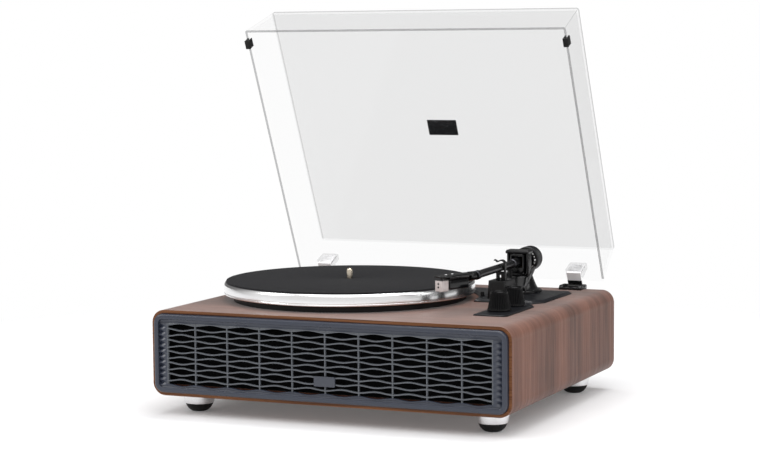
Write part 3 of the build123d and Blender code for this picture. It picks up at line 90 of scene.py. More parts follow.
def cloud(material, scale, stretch=(1, 1, 1), detail=4, roughness=0.5, distortion=0):
    """A noise pattern on the piece's own coordinates, stretched along each axis."""
    nodes, link = material.node_tree.nodes, material.node_tree.links.new
    place = nodes.new("ShaderNodeTexCoord")
    mapping = nodes.new("ShaderNodeMapping")
    mapping.inputs["Scale"].default_value = stretch
    noise = nodes.new("ShaderNodeTexNoise")
    noise.inputs["Scale"].default_value = scale
    noise.inputs["Detail"].default_value = detail
    noise.inputs["Roughness"].default_value = roughness
    noise.inputs["Distortion"].default_value = distortion
    link(place.outputs["Object"], mapping.inputs["Vector"])
    link(mapping.outputs["Vector"], noise.inputs["Vector"])
    return noise.outputs["Fac"]


def spread(material, factor, low, high, start=0.3, end=0.7):
    """A factor moved from start..end to low..high."""
    node = material.node_tree.nodes.new("ShaderNodeMapRange")
    node.inputs["From Min"].default_value = start
    node.inputs["From Max"].default_value = end
    node.inputs["To Min"].default_value = low
    node.inputs["To Max"].default_value = high
    material.node_tree.links.new(factor, node.inputs["Value"])
    return node.outputs["Result"]


def mottle(material, shader, scale, low, high):
    """Varies the roughness between low and high in soft clouds."""
    factor = cloud(material, scale, detail=3)
    material.node_tree.links.new(spread(material, factor, low, high), shader.inputs["Roughness"])


def plain_paint(name, colour, roughness):
    """A flat painted surface with a faint mottle in its roughness."""
    material, shader, link = shader_for(name, colour, roughness)
    mottle(material, shader, scale=9, low=roughness - 0.05, high=roughness + 0.05)
    return material


def flat_sheet(name, centre, across, along):
    """Four corners at centre plus or minus half of two edge vectors."""
    centre, across, along = (np.array(v, float) for v in (centre, across, along))
    turns = ((-1, -1), (1, -1), (1, 1), (-1, 1))
    corners = [centre + a * across / 2 + b * along / 2 for a, b in turns]
    mesh = bpy.data.meshes.new(name)
    mesh.from_pydata([tuple(c) for c in corners], [], [(0, 1, 2, 3)])
    sheet = bpy.data.objects.new(name, mesh)
    bpy.context.collection.objects.link(sheet)
    return sheet


table_top = flat_sheet("table_top", (0, 0, 0), (14, 0, 0), (0, 14, 0))
white_table = plain_paint("table_white", (0.90, 0.90, 0.91), 0.55)
table_top.data.materials.append(white_table)

world = bpy.data.worlds.new("surround")
world.use_nodes = True
world_nodes, world_link = world.node_tree.nodes, world.node_tree.links.new
room = world_nodes["Background"]
room.inputs["Color"].default_value = (1.0, 0.99, 0.98, 1)
heading = world_nodes.new("ShaderNodeTexCoord")
split = world_nodes.new("ShaderNodeSeparateXYZ")
behind = world_nodes.new("ShaderNodeMapRange")
behind.inputs["From Min"].default_value = -0.35
behind.inputs["From Max"].default_value = 0.30
behind.inputs["To Min"].default_value = 0.78
behind.inputs["To Max"].default_value = 0.16
world_link(heading.outputs["Generated"], split.inputs["Vector"])
world_link(split.outputs["Y"], behind.inputs["Value"])
world_link(behind.outputs["Result"], room.inputs["Strength"])
bpy.context.scene.world = world

# The table fades into the white surround with distance, as a curved studio backdrop does.
table_nodes, table_link = white_table.node_tree.nodes, white_table.node_tree.links.new
far_white = table_nodes.new("ShaderNodeEmission")
place = table_nodes.new("ShaderNodeTexCoord")
distance = table_nodes.new("ShaderNodeVectorMath")
distance.operation = "LENGTH"
fade = table_nodes.new("ShaderNodeMapRange")
fade.inputs["From Min"].default_value = 0.45
fade.inputs["From Max"].default_value = 0.95
fade.inputs["To Min"].default_value = 0.11
sweep = table_nodes.new("ShaderNodeMixShader")
table_link(place.outputs["Object"], distance.inputs[0])
table_link(distance.outputs["Value"], fade.inputs["Value"])
table_link(fade.outputs["Result"], sweep.inputs["Fac"])
table_link(table_nodes["Principled BSDF"].outputs["BSDF"], sweep.inputs[1])
table_link(far_white.outputs["Emission"], sweep.inputs[2])
table_link(sweep.outputs["Shader"], table_nodes["Material Output"].inputs["Surface"])
wall = flat_sheet("white_wall", (0, 6.5, 2.5), (24, 0, 0), (0, 0, 8))
wall_white = bpy.data.materials.new("wall_white")
wall_white.use_nodes = True
wall_nodes = wall_white.node_tree.nodes
glow = wall_nodes.new("ShaderNodeEmission").outputs["Emission"]
wall_white.node_tree.links.new(glow, wall_nodes["Material Output"].inputs["Surface"])
wall.data.materials.append(wall_white)
wall.visible_diffuse = wall.visible_glossy = wall.visible_shadow = False
bpy.context.scene.view_settings.view_transform = "Standard"


def soft_box(name, place, target, width, height, power):
    """A rectangular lamp at a place, facing a target."""
    lamp = bpy.data.lights.new(name, "AREA")
    lamp.shape = "RECTANGLE"
    lamp.size = width
    lamp.size_y = height
    lamp.energy = power
    holder = bpy.data.objects.new(name, lamp)
    holder.location = place
    holder.rotation_euler = (Vector(target) - Vector(place)).to_track_quat("-Z", "Y").to_euler()
    bpy.context.collection.objects.link(holder)


soft_box("lamp_left", (-1.9, -1.3, 1.5), (0, 0, 0.1), 0.7, 1.4, 20)
soft_box("lamp_right", (2.2, 0.1, 1.1), (0.1, 0, 0.1), 0.6, 1.4, 10)
soft_box("lamp_above", (0.1, 0.3, 2.2), (0, 0, 0), 1.6, 0.5, 20)
day = bpy.data.lights.new("even_sky", "SUN")
day.energy = 1.7
day.angle = math.radians(75)
day_holder = bpy.data.objects.new("even_sky", day)
day_holder.rotation_euler = Vector((0.25, -0.35, 1)).to_track_quat("Z", "Y").to_euler()
bpy.context.collection.objects.link(day_holder)

# ---- Cabinet: veneered box -----------------------------------------------------------------
# A bent box of board wrapped in walnut veneer, its grain running across the top and down
# the sides. The top is painted paler, a painted sheen, and the raw front edge round the
# grille is warmer.

FRONT = -206.7  # mm, the cabinet's front edge
RAW_EDGE = 0.4  # mm of board edge that shows in front of the veneer
CROWN_LOW, CROWN_HIGH = 0.105, 0.1213  # the corner's start and the top, where the painted sheen grows


def finish_node(node, finish):
    """Puts a finish on a CAD piece that keeps its own shape."""
    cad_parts[node].data.materials.clear()
    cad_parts[node].data.materials.append(finish)


def ramp(material, factor, stops):
    """Colours along a factor: stops is a list of (position, colour)."""
    node = material.node_tree.nodes.new("ShaderNodeValToRGB")
    elements = node.color_ramp.elements
    while len(elements) < len(stops):
        elements.new(0.5)
    for element, (position, colour) in zip(elements, stops):
        element.position = position
        element.color = (*colour, 1)
    material.node_tree.links.new(factor, node.inputs["Fac"])
    return node.outputs["Color"]


def relief(material, shader, height, depth, strength=1.0):
    """Raises the surface by a pattern, depth in metres."""
    node = material.node_tree.nodes.new("ShaderNodeBump")
    node.inputs["Distance"].default_value = depth
    node.inputs["Strength"].default_value = strength
    material.node_tree.links.new(height, node.inputs["Height"])
    material.node_tree.links.new(node.outputs["Normal"], shader.inputs["Normal"])


def arithmetic(material, operation, *terms):
    """One sum or comparison, on sockets and numbers."""
    node = material.node_tree.nodes.new("ShaderNodeMath")
    node.operation = operation
    for slot, term in zip(node.inputs, terms):
        if isinstance(term, (int, float)):
            slot.default_value = term
        else:
            material.node_tree.links.new(term, slot)
    return node.outputs["Value"]


def blended(material, kind, factor, first, second):
    """Two colours mixed or multiplied by a factor; each term is a socket or a value."""
    node = material.node_tree.nodes.new("ShaderNodeMix")
    node.data_type = "RGBA"
    node.blend_type = kind
    for slot, term in (("Factor", factor), ("A", first), ("B", second)):
        if isinstance(term, bpy.types.NodeSocket):
            material.node_tree.links.new(term, node.inputs[slot])
        else:
            node.inputs[slot].default_value = term
    return node.outputs["Result"]


def own_axes(material):
    """The x, y and z of a point on the piece, each as a socket."""
    place = material.node_tree.nodes.new("ShaderNodeTexCoord")
    axes = material.node_tree.nodes.new("ShaderNodeSeparateXYZ")
    material.node_tree.links.new(place.outputs["Object"], axes.inputs["Vector"])
    return axes.outputs


def walnut_veneer():
    """Grain as noise that is long round the wrap and short across the depth, in three sizes:
    broad figure, streaks and pores. From the corners up to the top the colour is painted paler,
    a painted sheen, and it takes a stronger sheen; the front edge shows raw board."""
    material, shader, link = shader_for(
        "walnut_veneer", (0.2, 0.1, 0.06), 0.42, Specular_IOR_Level=0.15, Sheen_Roughness=0.35
    )
    figure = cloud(material, 1.0, (2.4, 19, 2.2), detail=4, roughness=0.5, distortion=0.6)
    streak = cloud(material, 1.0, (6, 330, 6), detail=6, roughness=0.7, distortion=0.12)
    pore = cloud(material, 1.0, (42, 1700, 42), detail=3, roughness=0.6)
    long_grain = cloud(material, 1.0, (9, 9, 420), detail=3)
    broad = arithmetic(material, "MULTIPLY", figure, 0.55)
    wood_tones = [
        (0.32, (0.040, 0.0130, 0.0065)),
        (0.44, (0.088, 0.0315, 0.0170)),
        (0.54, (0.142, 0.0530, 0.0305)),
        (0.68, (0.205, 0.0840, 0.0500)),
    ]
    wood = ramp(material, arithmetic(material, "MULTIPLY_ADD", streak, 0.45, broad), wood_tones)
    pores = ramp(material, pore, [(0.36, (0.55, 0.48, 0.45)), (0.50, (1, 1, 1))])
    grain = blended(material, "MULTIPLY", 0.75, wood, pores)
    axes = own_axes(material)
    crown = spread(material, axes["Z"], 0, 1, CROWN_LOW, CROWN_HIGH)
    # Painted sheen: the top's colour is multiplied paler, growing from the corners up.
    top_painted_paler = blended(material, "MULTIPLY", crown, grain, (1.20, 1.36, 1.55, 1))
    on_edge = arithmetic(material, "LESS_THAN", axes["Y"], (FRONT + RAW_EDGE) / 1000)
    edge_tones = [(0.35, (0.085, 0.032, 0.014)), (0.65, (0.190, 0.078, 0.032))]
    raw = ramp(material, long_grain, edge_tones)
    tone = blended(material, "MIX", on_edge, top_painted_paler, raw)
    link(tone, shader.inputs["Base Color"])
    link(spread(material, crown, 0.06, 0.50, 0, 1), shader.inputs["Sheen Weight"])
    link(spread(material, streak, 0.50, 0.34), shader.inputs["Roughness"])
    relief(material, shader, pore, 0.00005, 0.6)
    return material


finish_node("cabinet_shell", walnut_veneer())

# ---- Grille: frame, wavy bars and ribs -----------------------------------------------------
# One slate-coloured plastic moulding: a rounded frame that stands proud of the wood, with
# twelve wavy bars on upright ribs and sloping faces from the bars up to the frame.

MIDDLE = 72.1  # mm, height of the grille's middle
BARS = 12
END_RIB = 198.9  # mm from the middle to the last rib
RIB_STEP = 40.8
BARS_REACH = 35.2  # mm above and below the middle where the bars' painted highlight ends
BAR_SWING = 1.05  # mm up and down from each bar's own line
FRAME_WIDTH, FRAME_HEIGHT, FRAME_CORNER = 216.0, 45.4, 11.0  # halves, and corner radius
OPENING_WIDTH, OPENING_HEIGHT = 210.5, 40.2  # halves


def settle(piece, body, nodes, finish, edge_angle=32):
    """Gives a new piece its finish, smooth faces with sharp edges kept and its body, and hides
    the CAD nodes it stands for."""
    piece.data.materials.clear()
    piece.data.materials.append(finish)
    piece.data.shade_smooth()
    piece.data.set_sharp_from_angle(angle=math.radians(edge_angle))
    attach(piece, body)
    if nodes:
        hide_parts(*nodes)
    return piece


def skin(name, grids):
    """One mesh of quads through grids of points, each (rows, columns, xyz) with wrap flags."""
    points, faces, start = [], [], 0
    for grid, wrap_rows, wrap_columns in grids:
        rows, columns = grid.shape[:2]
        index = start + np.arange(rows * columns).reshape(rows, columns)
        if wrap_rows:
            index = np.vstack([index, index[:1]])
        if wrap_columns:
            index = np.hstack([index, index[:, :1]])
        corners = (index[:-1, :-1], index[1:, :-1], index[1:, 1:], index[:-1, 1:])
        faces.append(np.stack(corners, axis=-1).reshape(-1, 4))
        points.append(grid.reshape(-1, 3))
        start += rows * columns
    mesh = bpy.data.meshes.new(name)
    mesh.from_pydata(np.concatenate(points).tolist(), [], np.concatenate(faces).tolist())
    tidy = bmesh.new()
    tidy.from_mesh(mesh)
    bmesh.ops.remove_doubles(tidy, verts=tidy.verts, dist=2e-6)
    bmesh.ops.dissolve_degenerate(tidy, edges=tidy.edges, dist=1e-7)
    bmesh.ops.recalc_face_normals(tidy, faces=tidy.faces)
    tidy.to_mesh(mesh)
    tidy.free()
    piece = bpy.data.objects.new(name, mesh)
    bpy.context.collection.objects.link(piece)
    return piece


def moulded(name, node, body, finish, ease=0.3, steps=2, edge_angle=40):
    """A copy of a CAD piece, welded, with its sharp edges rounded over by ease mm."""
    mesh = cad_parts[node].data.copy()
    weld = bmesh.new()
    weld.from_mesh(mesh)
    bmesh.ops.remove_doubles(weld, verts=weld.verts, dist=1e-6)
    weld.to_mesh(mesh)
    weld.free()
    piece = bpy.data.objects.new(name, mesh)
    bpy.context.collection.objects.link(piece)
    bevel = piece.modifiers.new("eased_edges", "BEVEL")
    bevel.width = ease / 1000
    bevel.segments = steps
    bevel.limit_method = "ANGLE"
    bevel.angle_limit = math.radians(30)
    bevel.use_clamp_overlap = False
    return settle(piece, body, [node], finish, edge_angle)


def satin_plastic(name, colour, roughness, grain=900, depth=0.00002, shine=0.5):
    """Moulded plastic: a fine spark-eroded grain and slight changes in gloss."""
    material, shader, link = shader_for(name, colour, roughness, Specular_IOR_Level=shine)
    mottle(material, shader, 30, roughness - 0.05, roughness + 0.06)
    relief(material, shader, cloud(material, grain, detail=2), depth, 0.5)
    return material


slate_plastic = satin_plastic("slate_plastic", (0.040, 0.047, 0.068), 0.30)
# The field with the bars and ribs is painted paler than the frame: a painted highlight for the
# light that the bars' rounded fronts catch.
axes = own_axes(slate_plastic)
off_middle = arithmetic(
    slate_plastic, "ABSOLUTE", arithmetic(slate_plastic, "SUBTRACT", axes["Z"], MIDDLE / 1000)
)
off_side = arithmetic(slate_plastic, "ABSOLUTE", axes["X"])
painted_highlight_on_bars = arithmetic(
    slate_plastic,
    "MULTIPLY",
    arithmetic(slate_plastic, "LESS_THAN", off_middle, BARS_REACH / 1000),
    arithmetic(slate_plastic, "LESS_THAN", off_side, (END_RIB + 0.8) / 1000),
)
slate_and_bar_highlight_tones = [(0, (0.024, 0.029, 0.045)), (1, (0.078, 0.085, 0.097))]
slate_shader = slate_plastic.node_tree.nodes["Principled BSDF"]
slate_plastic.node_tree.links.new(
    ramp(slate_plastic, painted_highlight_on_bars, slate_and_bar_highlight_tones), slate_shader.inputs["Base Color"]
)


def round_the_frame(inset, depth, half_width, half_height, corner):
    """A profile of (inset, depth) carried round a rounded rectangle: each corner is a quarter
    circle whose radius shrinks by the inset."""
    inset, depth = np.array(inset, float)[:, None], np.array(depth, float)[:, None]
    quarter = np.linspace(0, np.pi / 2, 9)
    angle = np.concatenate([quarter + k * np.pi / 2 for k in range(4)])[None, :]
    sign_x = np.repeat([1, -1, -1, 1], 9)[None, :]
    sign_z = np.repeat([1, 1, -1, -1], 9)[None, :]
    radius = np.maximum(corner - inset, 0.4)
    x = sign_x * (half_width - inset - radius) + radius * np.cos(angle)
    z = sign_z * (half_height - inset - radius) + radius * np.sin(angle)
    y = FRONT + depth + 0 * x
    return np.stack([x, y, z + MIDDLE], axis=-1) / 1000


arc = np.linspace(0, np.pi / 2, 6)
frame_inset = np.concatenate([[0], 2.5 - 2.5 * np.cos(arc), 4.4 + 1.6 * np.sin(arc), [6.0]])
frame_depth = np.concatenate([[7.4], -3.0 - 2.5 * np.sin(arc), -3.9 - 1.6 * np.cos(arc), [7.4]])
frame_grid = round_the_frame(frame_inset, frame_depth, FRAME_WIDTH, FRAME_HEIGHT, FRAME_CORNER)

rib_xs = np.array([-END_RIB, *(RIB_STEP * np.arange(-4, 5)), END_RIB])
wave_heights = np.linspace(34.1, -37.1, BARS)
wave_signs = np.where(np.arange(BARS) % 2 == 0, 1.0, -1.0)
bar_x = np.linspace(-END_RIB, END_RIB, 241)


def wave_height(x, line):
    """Height of a wavy bar: one cosine from each rib to the next, up or down by turns."""
    phase = np.interp(x, rib_xs, np.arange(len(rib_xs)))
    return wave_heights[line] - BAR_SWING * wave_signs[line] * np.cos(2 * np.pi * phase)


# Sections from the back round the rounded front: a bar's is (depth, height), a rib's (x, depth).
bar_section = np.array(
    [
        [-0.5, 0.85], [-2.9, 0.85], [-3.35, 0.6], [-3.5, 0.0],
        [-3.35, -0.6], [-2.9, -0.85], [-0.5, -0.85],
    ]
)
rib_section = np.array(
    [
        [0.95, -0.5], [0.95, -2.4], [0.6, -2.9], [0.0, -3.0],
        [-0.6, -2.9], [-0.95, -2.4], [-0.95, -0.5],
    ]
)
bars_and_ribs = []
for line in range(BARS):
    x = bar_x[:, None]
    y = FRONT + bar_section[None, :, 0]
    z = wave_height(x, line) + bar_section[None, :, 1] + MIDDLE
    bars_and_ribs.append((np.stack(np.broadcast_arrays(x, y, z), -1) / 1000, False, True))
rib_ends = np.array([[wave_heights[-1] - 1.0], [wave_heights[0] + 1.0]])
for rib_x in rib_xs:
    x = rib_x + rib_section[None, :, 0]
    y = FRONT + rib_section[None, :, 1]
    z = rib_ends + MIDDLE
    bars_and_ribs.append((np.stack(np.broadcast_arrays(x, y, z), -1) / 1000, False, True))


def sloping_face(line, rim_height):
    """The face from the frame to the outermost bar: it dips back most where the bar is
    furthest away, and its hidden side closes it."""
    x = np.linspace(-OPENING_WIDTH, OPENING_WIDTH, 301)[:, None]
    t = np.linspace(0, 1, 9)[None, :]
    edge = wave_height(np.clip(x, -END_RIB, END_RIB), line)
    height = rim_height + (edge - rim_height) * t
    reach = np.clip(np.abs(edge - rim_height) / 6.4, 0, 1.2)
    depth = -4.3 + 1.1 * t + 1.5 * np.sin(np.pi * t) * reach
    front = np.stack(np.broadcast_arrays(x, depth + FRONT, height + MIDDLE), -1)
    hidden = front[:, ::-1] + np.array([0, 1.4, 0])
    return np.concatenate([front, hidden], axis=1) / 1000, False, True


def end_wedges(side_sign):
    """Folded faces beyond the end rib: ridges run out from each bar and narrow to a point at
    the frame, with grooves between them that deepen outwards."""
    u = np.linspace(0, 1, 7)[None, :]
    v = np.linspace(0, BARS - 1, 89)[:, None]
    fold = 1 - np.abs(2 * (v % 1) - 1)
    height = np.interp(v, np.arange(BARS), wave_heights)
    depth = -3.3 + 3.4 * u * fold - 0.9 * u * (1 - fold)
    x = side_sign * (END_RIB + (OPENING_WIDTH - END_RIB) * u)
    front = np.stack(np.broadcast_arrays(x, depth + FRONT, height + MIDDLE), -1)
    hidden = front[:, ::-1] * [1, 0, 1] + [0, FRONT + 1.6, 0]
    return np.concatenate([front, hidden], axis=1) / 1000, False, True


grille = skin(
    "grille_moulding",
    [
        (frame_grid, True, True),
        *bars_and_ribs,
        sloping_face(0, OPENING_HEIGHT),
        sloping_face(BARS - 1, -OPENING_HEIGHT),
        end_wedges(-1),
        end_wedges(1),
    ],
)
settle(grille, "cabinet", ["front_grille"], slate_plastic, 38)
badge_slate = satin_plastic("badge_slate", (0.036, 0.041, 0.055), 0.32)
moulded("blank_badge", "grille_badge", "cabinet", badge_slate, 0.3, 3)


def speaker_cloth():
    """Black woven cloth: slanting rows of threads, a twentieth of a mm deep."""
    material, shader, link = shader_for(
        "speaker_cloth", (0.0012, 0.0012, 0.0014), 0.95, Specular_IOR_Level=0.1
    )
    weave = material.node_tree.nodes.new("ShaderNodeTexWave")
    weave.inputs["Scale"].default_value = 300
    place = material.node_tree.nodes.new("ShaderNodeTexCoord")
    link(place.outputs["Object"], weave.inputs["Vector"])
    relief(material, shader, weave.outputs["Fac"], 0.0001, 0.5)
    return material


finish_node("grille_cloth", speaker_cloth())
black_board = plain_paint("black_board", (0.0025, 0.0025, 0.0028), 0.8)
for node in ("front_baffle", "rear_panel"):
    finish_node(node, black_board)

# ---- Feet: metal rings and rubber domes ----------------------------------------------------
# Four spun aluminium rings, slightly tapered, screwed to the cabinet's underside. Each holds
# a black rubber dome that stands on the table.


def turned(profile, centre, axis=(0, 0, 1), across=(1, 0, 0), segments=128, waist=None):
    """A profile of (radius, height) in mm turned about an axis: each point is
    centre + height * axis + radius * (cos, sin). waist(angle, radius, height) may change the
    radius and the height, for ribs and flutes."""
    profile = np.array(profile, float)
    angle = np.linspace(0, 2 * np.pi, segments, endpoint=False)[None, :]
    radius = np.repeat(profile[:, :1], segments, axis=1)
    height = np.repeat(profile[:, 1:], segments, axis=1)
    if waist:
        radius, height = waist(angle, radius, height)
    axis, across = np.array(axis, float), np.array(across, float)
    other = np.cross(axis, across)
    ring = np.cos(angle)[..., None] * across + np.sin(angle)[..., None] * other
    grid = np.array(centre, float) + (height[..., None] * axis + radius[..., None] * ring) / 1000
    return grid, False, True


def satin_metal(name, colour, roughness, line_scale=2400, depth=0.000004):
    """Turned metal: fine tool lines that follow height, and slight changes in gloss."""
    material, shader, link = shader_for(name, colour, roughness, Metallic=1.0)
    mottle(material, shader, 26, roughness - 0.04, roughness + 0.05)
    relief(material, shader, cloud(material, 1.0, (30, 30, line_scale), detail=2), depth, 0.6)
    return material


def dull_rubber(name, colour=(0.004, 0.004, 0.004)):
    """Moulded rubber: matt, with a soft fine grain."""
    material, shader, link = shader_for(name, colour, 0.62, Specular_IOR_Level=0.25)
    mottle(material, shader, 60, 0.52, 0.72)
    relief(material, shader, cloud(material, 700, detail=3), 0.00004, 0.5)
    return material


foot_aluminium = satin_metal("foot_aluminium", (0.86, 0.86, 0.87), 0.22)
black_rubber = dull_rubber("black_rubber")
CABINET_Y, FOOT_X, FOOT_Y = -0.0278, 0.1824, 0.1384
foot_places = [(x, CABINET_Y + y, 0) for x in (-FOOT_X, FOOT_X) for y in (-FOOT_Y, FOOT_Y)]
ring_profile = [
    (2.2, 22.7), (19.2, 22.7), (19.55, 22.3), (16.95, 10.2), (16.4, 9.7), (6.0, 9.7),
    (6.0, 13.1), (2.2, 13.1), (2.2, 22.7),
]
DOME_FLAT, DOME_SIDE, DOME_HEIGHT = 6, 16.2, 9.65
dome_turn = np.linspace(0, math.radians(62), 12)
dome_out = DOME_FLAT + (DOME_SIDE - DOME_FLAT) * np.sin(dome_turn) / np.sin(dome_turn[-1])
dome_up = DOME_HEIGHT * (1 - np.cos(dome_turn)) / (1 - np.cos(dome_turn[-1]))
dome_profile = [(0, 0), *zip(dome_out, dome_up), (0, DOME_HEIGHT)]
rings = skin("foot_trims", [turned(ring_profile, place, segments=72) for place in foot_places])
settle(rings, "cabinet", ["foot_rings"], foot_aluminium)
domes = skin("foot_domes", [turned(dome_profile, place, segments=56) for place in foot_places])
settle(domes, "cabinet", ["foot_pads"], black_rubber)
bright_steel = satin_metal("bright_steel", (0.62, 0.62, 0.63), 0.22, 900)
for node in ("foot_screws", "wood_screws", "hinge_pins", "arm_pivot_pins"):
    finish_node(node, bright_steel)

# ---- Platter, mat and spindle --------------------------------------------------------------
# A cast aluminium platter with a polished, bevelled rim; a charcoal felt mat lies on it and
# the steel spindle comes up through both. The belt, pulley and bearing are below.

spindle_low, spindle_high = np.array(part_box("spindle"))
platter_centre = (spindle_low + spindle_high) / 2 * [1, 1, 0]


def polished_rim():
    """Polished aluminium: close to a mirror, with faint turning lines round the rim."""
    material, shader, link = shader_for("polished_rim", (0.90, 0.90, 0.91), 0.2, Metallic=1.0)
    mottle(material, shader, 14, 0.17, 0.24)
    relief(material, shader, cloud(material, 1.0, (14, 14, 3000), detail=2), 0.000003, 0.5)
    return material


platter_profile = [
    (3.05, 126.5), (16, 126.5), (16, 139.1), (114, 139.1), (114, 130.7), (118, 130.7),
    (118, 139.1), (144, 139.1), (144, 129.25), (148.7, 129.25), (149.2, 129.4),
    (149.45, 129.9), (149.5, 131.2), (149.3, 131.6), (149.3, 132.0), (149.5, 132.4),
    (149.5, 140.3), (149.35, 140.8), (148.3, 142.6), (147.9, 143.0), (147.3, 143.1),
    (3.05, 143.1), (3.05, 126.5),
]
platter_body = skin("spun_platter", [turned(platter_profile, platter_centre, segments=300)])
settle(platter_body, "platter", ["platter"], polished_rim(), 22)


def charcoal_felt():
    """Pressed felt: matted fibres as fine noise, cloudy tone and a soft sheen."""
    material, shader, link = shader_for(
        "charcoal_felt",
        (0.012, 0.012, 0.013),
        0.95,
        Sheen_Weight=0.03,
        Sheen_Roughness=0.5,
        Specular_IOR_Level=0.1,
    )
    fibres = cloud(material, 620, detail=6, roughness=0.75)
    tone = ramp(material, fibres, [(0.34, (0.006, 0.006, 0.007)), (0.66, (0.022, 0.022, 0.024))])
    link(tone, shader.inputs["Base Color"])
    relief(material, shader, fibres, 0.00045, 0.8)
    return material


mat_profile = [
    (3.7, 143.15), (146.7, 143.15), (147, 143.5), (147, 144.5), (146.7, 144.95),
    (146.2, 145.1), (4.2, 145.1), (3.7, 144.8), (3.7, 143.15),
]
mat = skin("felt_mat", [turned(mat_profile, platter_centre, segments=240)])
settle(mat, "platter", ["slipmat"], charcoal_felt())
spindle_profile = [
    (0, 96.9), (3, 96.9), (3, 145.0), (3.55, 145.1), (3.575, 155.3), (3.3, 156.2),
    (2.6, 157.0), (1.5, 157.6), (0, 157.8),
]
spindle_piece = skin("steel_spindle", [turned(spindle_profile, platter_centre, segments=48)])
warm_steel = satin_metal("warm_steel", (0.62, 0.55, 0.45), 0.2)
settle(spindle_piece, "platter", ["spindle"], warm_steel, 50)

soft_black = satin_plastic("soft_black", (0.004, 0.004, 0.0045), 0.42, shine=0.3)
gloss_black = satin_plastic("gloss_black", (0.003, 0.003, 0.0035), 0.15, 300, 0.000004, 0.4)
turned_brass = satin_metal("turned_brass", (0.66, 0.50, 0.24), 0.3)
grey_casting = satin_metal("grey_casting", (0.32, 0.32, 0.33), 0.42)
belt_rubber = dull_rubber("belt_rubber", (0.02, 0.02, 0.02))
for node in ("bearing_bush", "motor_pulley", "arm_bush", "board_standoffs", "weight_insert"):
    finish_node(node, turned_brass)
for node in ("bearing_housing", "motor", "potentiometers"):
    finish_node(node, grey_casting)
finish_node("drive_belt", belt_rubber)
finish_node("platter_skirt", soft_black)

# ---- Speakers and electronics inside -------------------------------------------------------
# Two full-range units behind the baffle and an amplifier board on brass posts.

black_enamel = satin_plastic("black_enamel", (0.004, 0.004, 0.0045), 0.34, 500, shine=0.35)


def pressed_paper():
    """Speaker cone paper: matt, with short fibres."""
    material, shader, link = shader_for("pressed_paper", (0.03, 0.03, 0.03), 0.9)
    fibres = cloud(material, 500, (1, 1, 4), detail=5)
    tone = ramp(material, fibres, [(0.3, (0.02, 0.02, 0.02)), (0.7, (0.05, 0.05, 0.05))])
    link(tone, shader.inputs["Base Color"])
    relief(material, shader, fibres, 0.0001, 0.5)
    return material


def lacquered_board():
    """Green circuit board: lacquer over darker copper areas."""
    material, shader, link = shader_for("lacquered_board", (0.02, 0.12, 0.05), 0.3)
    areas = cloud(material, 90, detail=1)
    tone = ramp(material, areas, [(0.45, (0.012, 0.085, 0.035)), (0.52, (0.025, 0.15, 0.06))])
    link(tone, shader.inputs["Base Color"])
    return material


cone_paper = pressed_paper()
finish_node("speaker_baskets", black_enamel)
finish_node("speaker_magnets", grey_casting)
finish_node("speaker_surrounds", black_rubber)
finish_node("speaker_cone_left", cone_paper)
finish_node("speaker_cone_right", cone_paper)
finish_node("amplifier_board", lacquered_board())
finish_node("speed_switch", soft_black)

# ---- Deck plates ---------------------------------------------------------------------------
# Satin black plates screwed to the deck: a thick bevelled one under the tone arm, cut to the
# platter's curve, and a thin one under the knobs.

plate_black = satin_plastic("plate_black", (0.0065, 0.007, 0.009), 0.32, 1400, 0.00001, 0.35)
moulded("tone_arm_plate", "arm_plate", "cabinet", plate_black, 0.25)
moulded("control_plate", "knob_plate", "cabinet", plate_black, 0.2)
speed_tab = moulded("speed_tab", "speed_lever", "speed_lever", soft_black, 0.3)

# The tab's neck is filed 12 per cent shorter, so that its corners clear the slot's round ends.
SPEED_CENTRE = np.array([0.101, 0.0142])
NECK_REACH = np.array([0.00195, 0.00205])
NECK_LENGTH = 0.88
tab_points = np.empty(len(speed_tab.data.vertices) * 3)
speed_tab.data.vertices.foreach_get("co", tab_points)
tab_points = tab_points.reshape(-1, 3)
neck = (np.abs(tab_points[:, :2] - SPEED_CENTRE) < NECK_REACH).all(axis=1)
tab_points[neck, 1] = SPEED_CENTRE[1] + NECK_LENGTH * (tab_points[neck, 1] - SPEED_CENTRE[1])
speed_tab.data.vertices.foreach_set("co", tab_points.ravel())

# ---- Knobs ---------------------------------------------------------------------------------
# Two tapered black knobs with fluted sides, a raised smooth rim, a sunk top and a pointer
# notch in the rim towards the front.

KNOB_X = 0.163
KNOB_BOTTOM = 123.8
KNOB_TOP = 145.5
FLUTES = 36
FLUTE_DEPTH = 0.8
FLUTES_LOW, FLUTES_HIGH = KNOB_BOTTOM + 1.2, KNOB_TOP - 2.0
NOTCH = 0.075  # half its angle


def flutes(angle, radius, height):
    """Fluting: the side's radius loses a rounded groove 36 times a turn, fading out at both
    ends; the rim is notched where it faces the front."""
    on_side = (radius > 9.4) & (height > FLUTES_LOW) & (height < FLUTES_HIGH)
    fade = np.clip(np.minimum(height - FLUTES_LOW, FLUTES_HIGH - height) / 1.2, 0, 1)
    ridge = FLUTE_DEPTH * np.abs(np.sin(FLUTES / 2 * angle)) ** 0.7
    radius = np.where(on_side, radius - fade * (FLUTE_DEPTH - ridge), radius)
    facing = np.abs(np.angle(np.exp(1j * (angle + np.pi / 2)))) < NOTCH
    notch = facing & (height > KNOB_TOP - 0.7) & (radius > 6.8)
    return radius, np.where(notch, KNOB_TOP - 1.9, height)


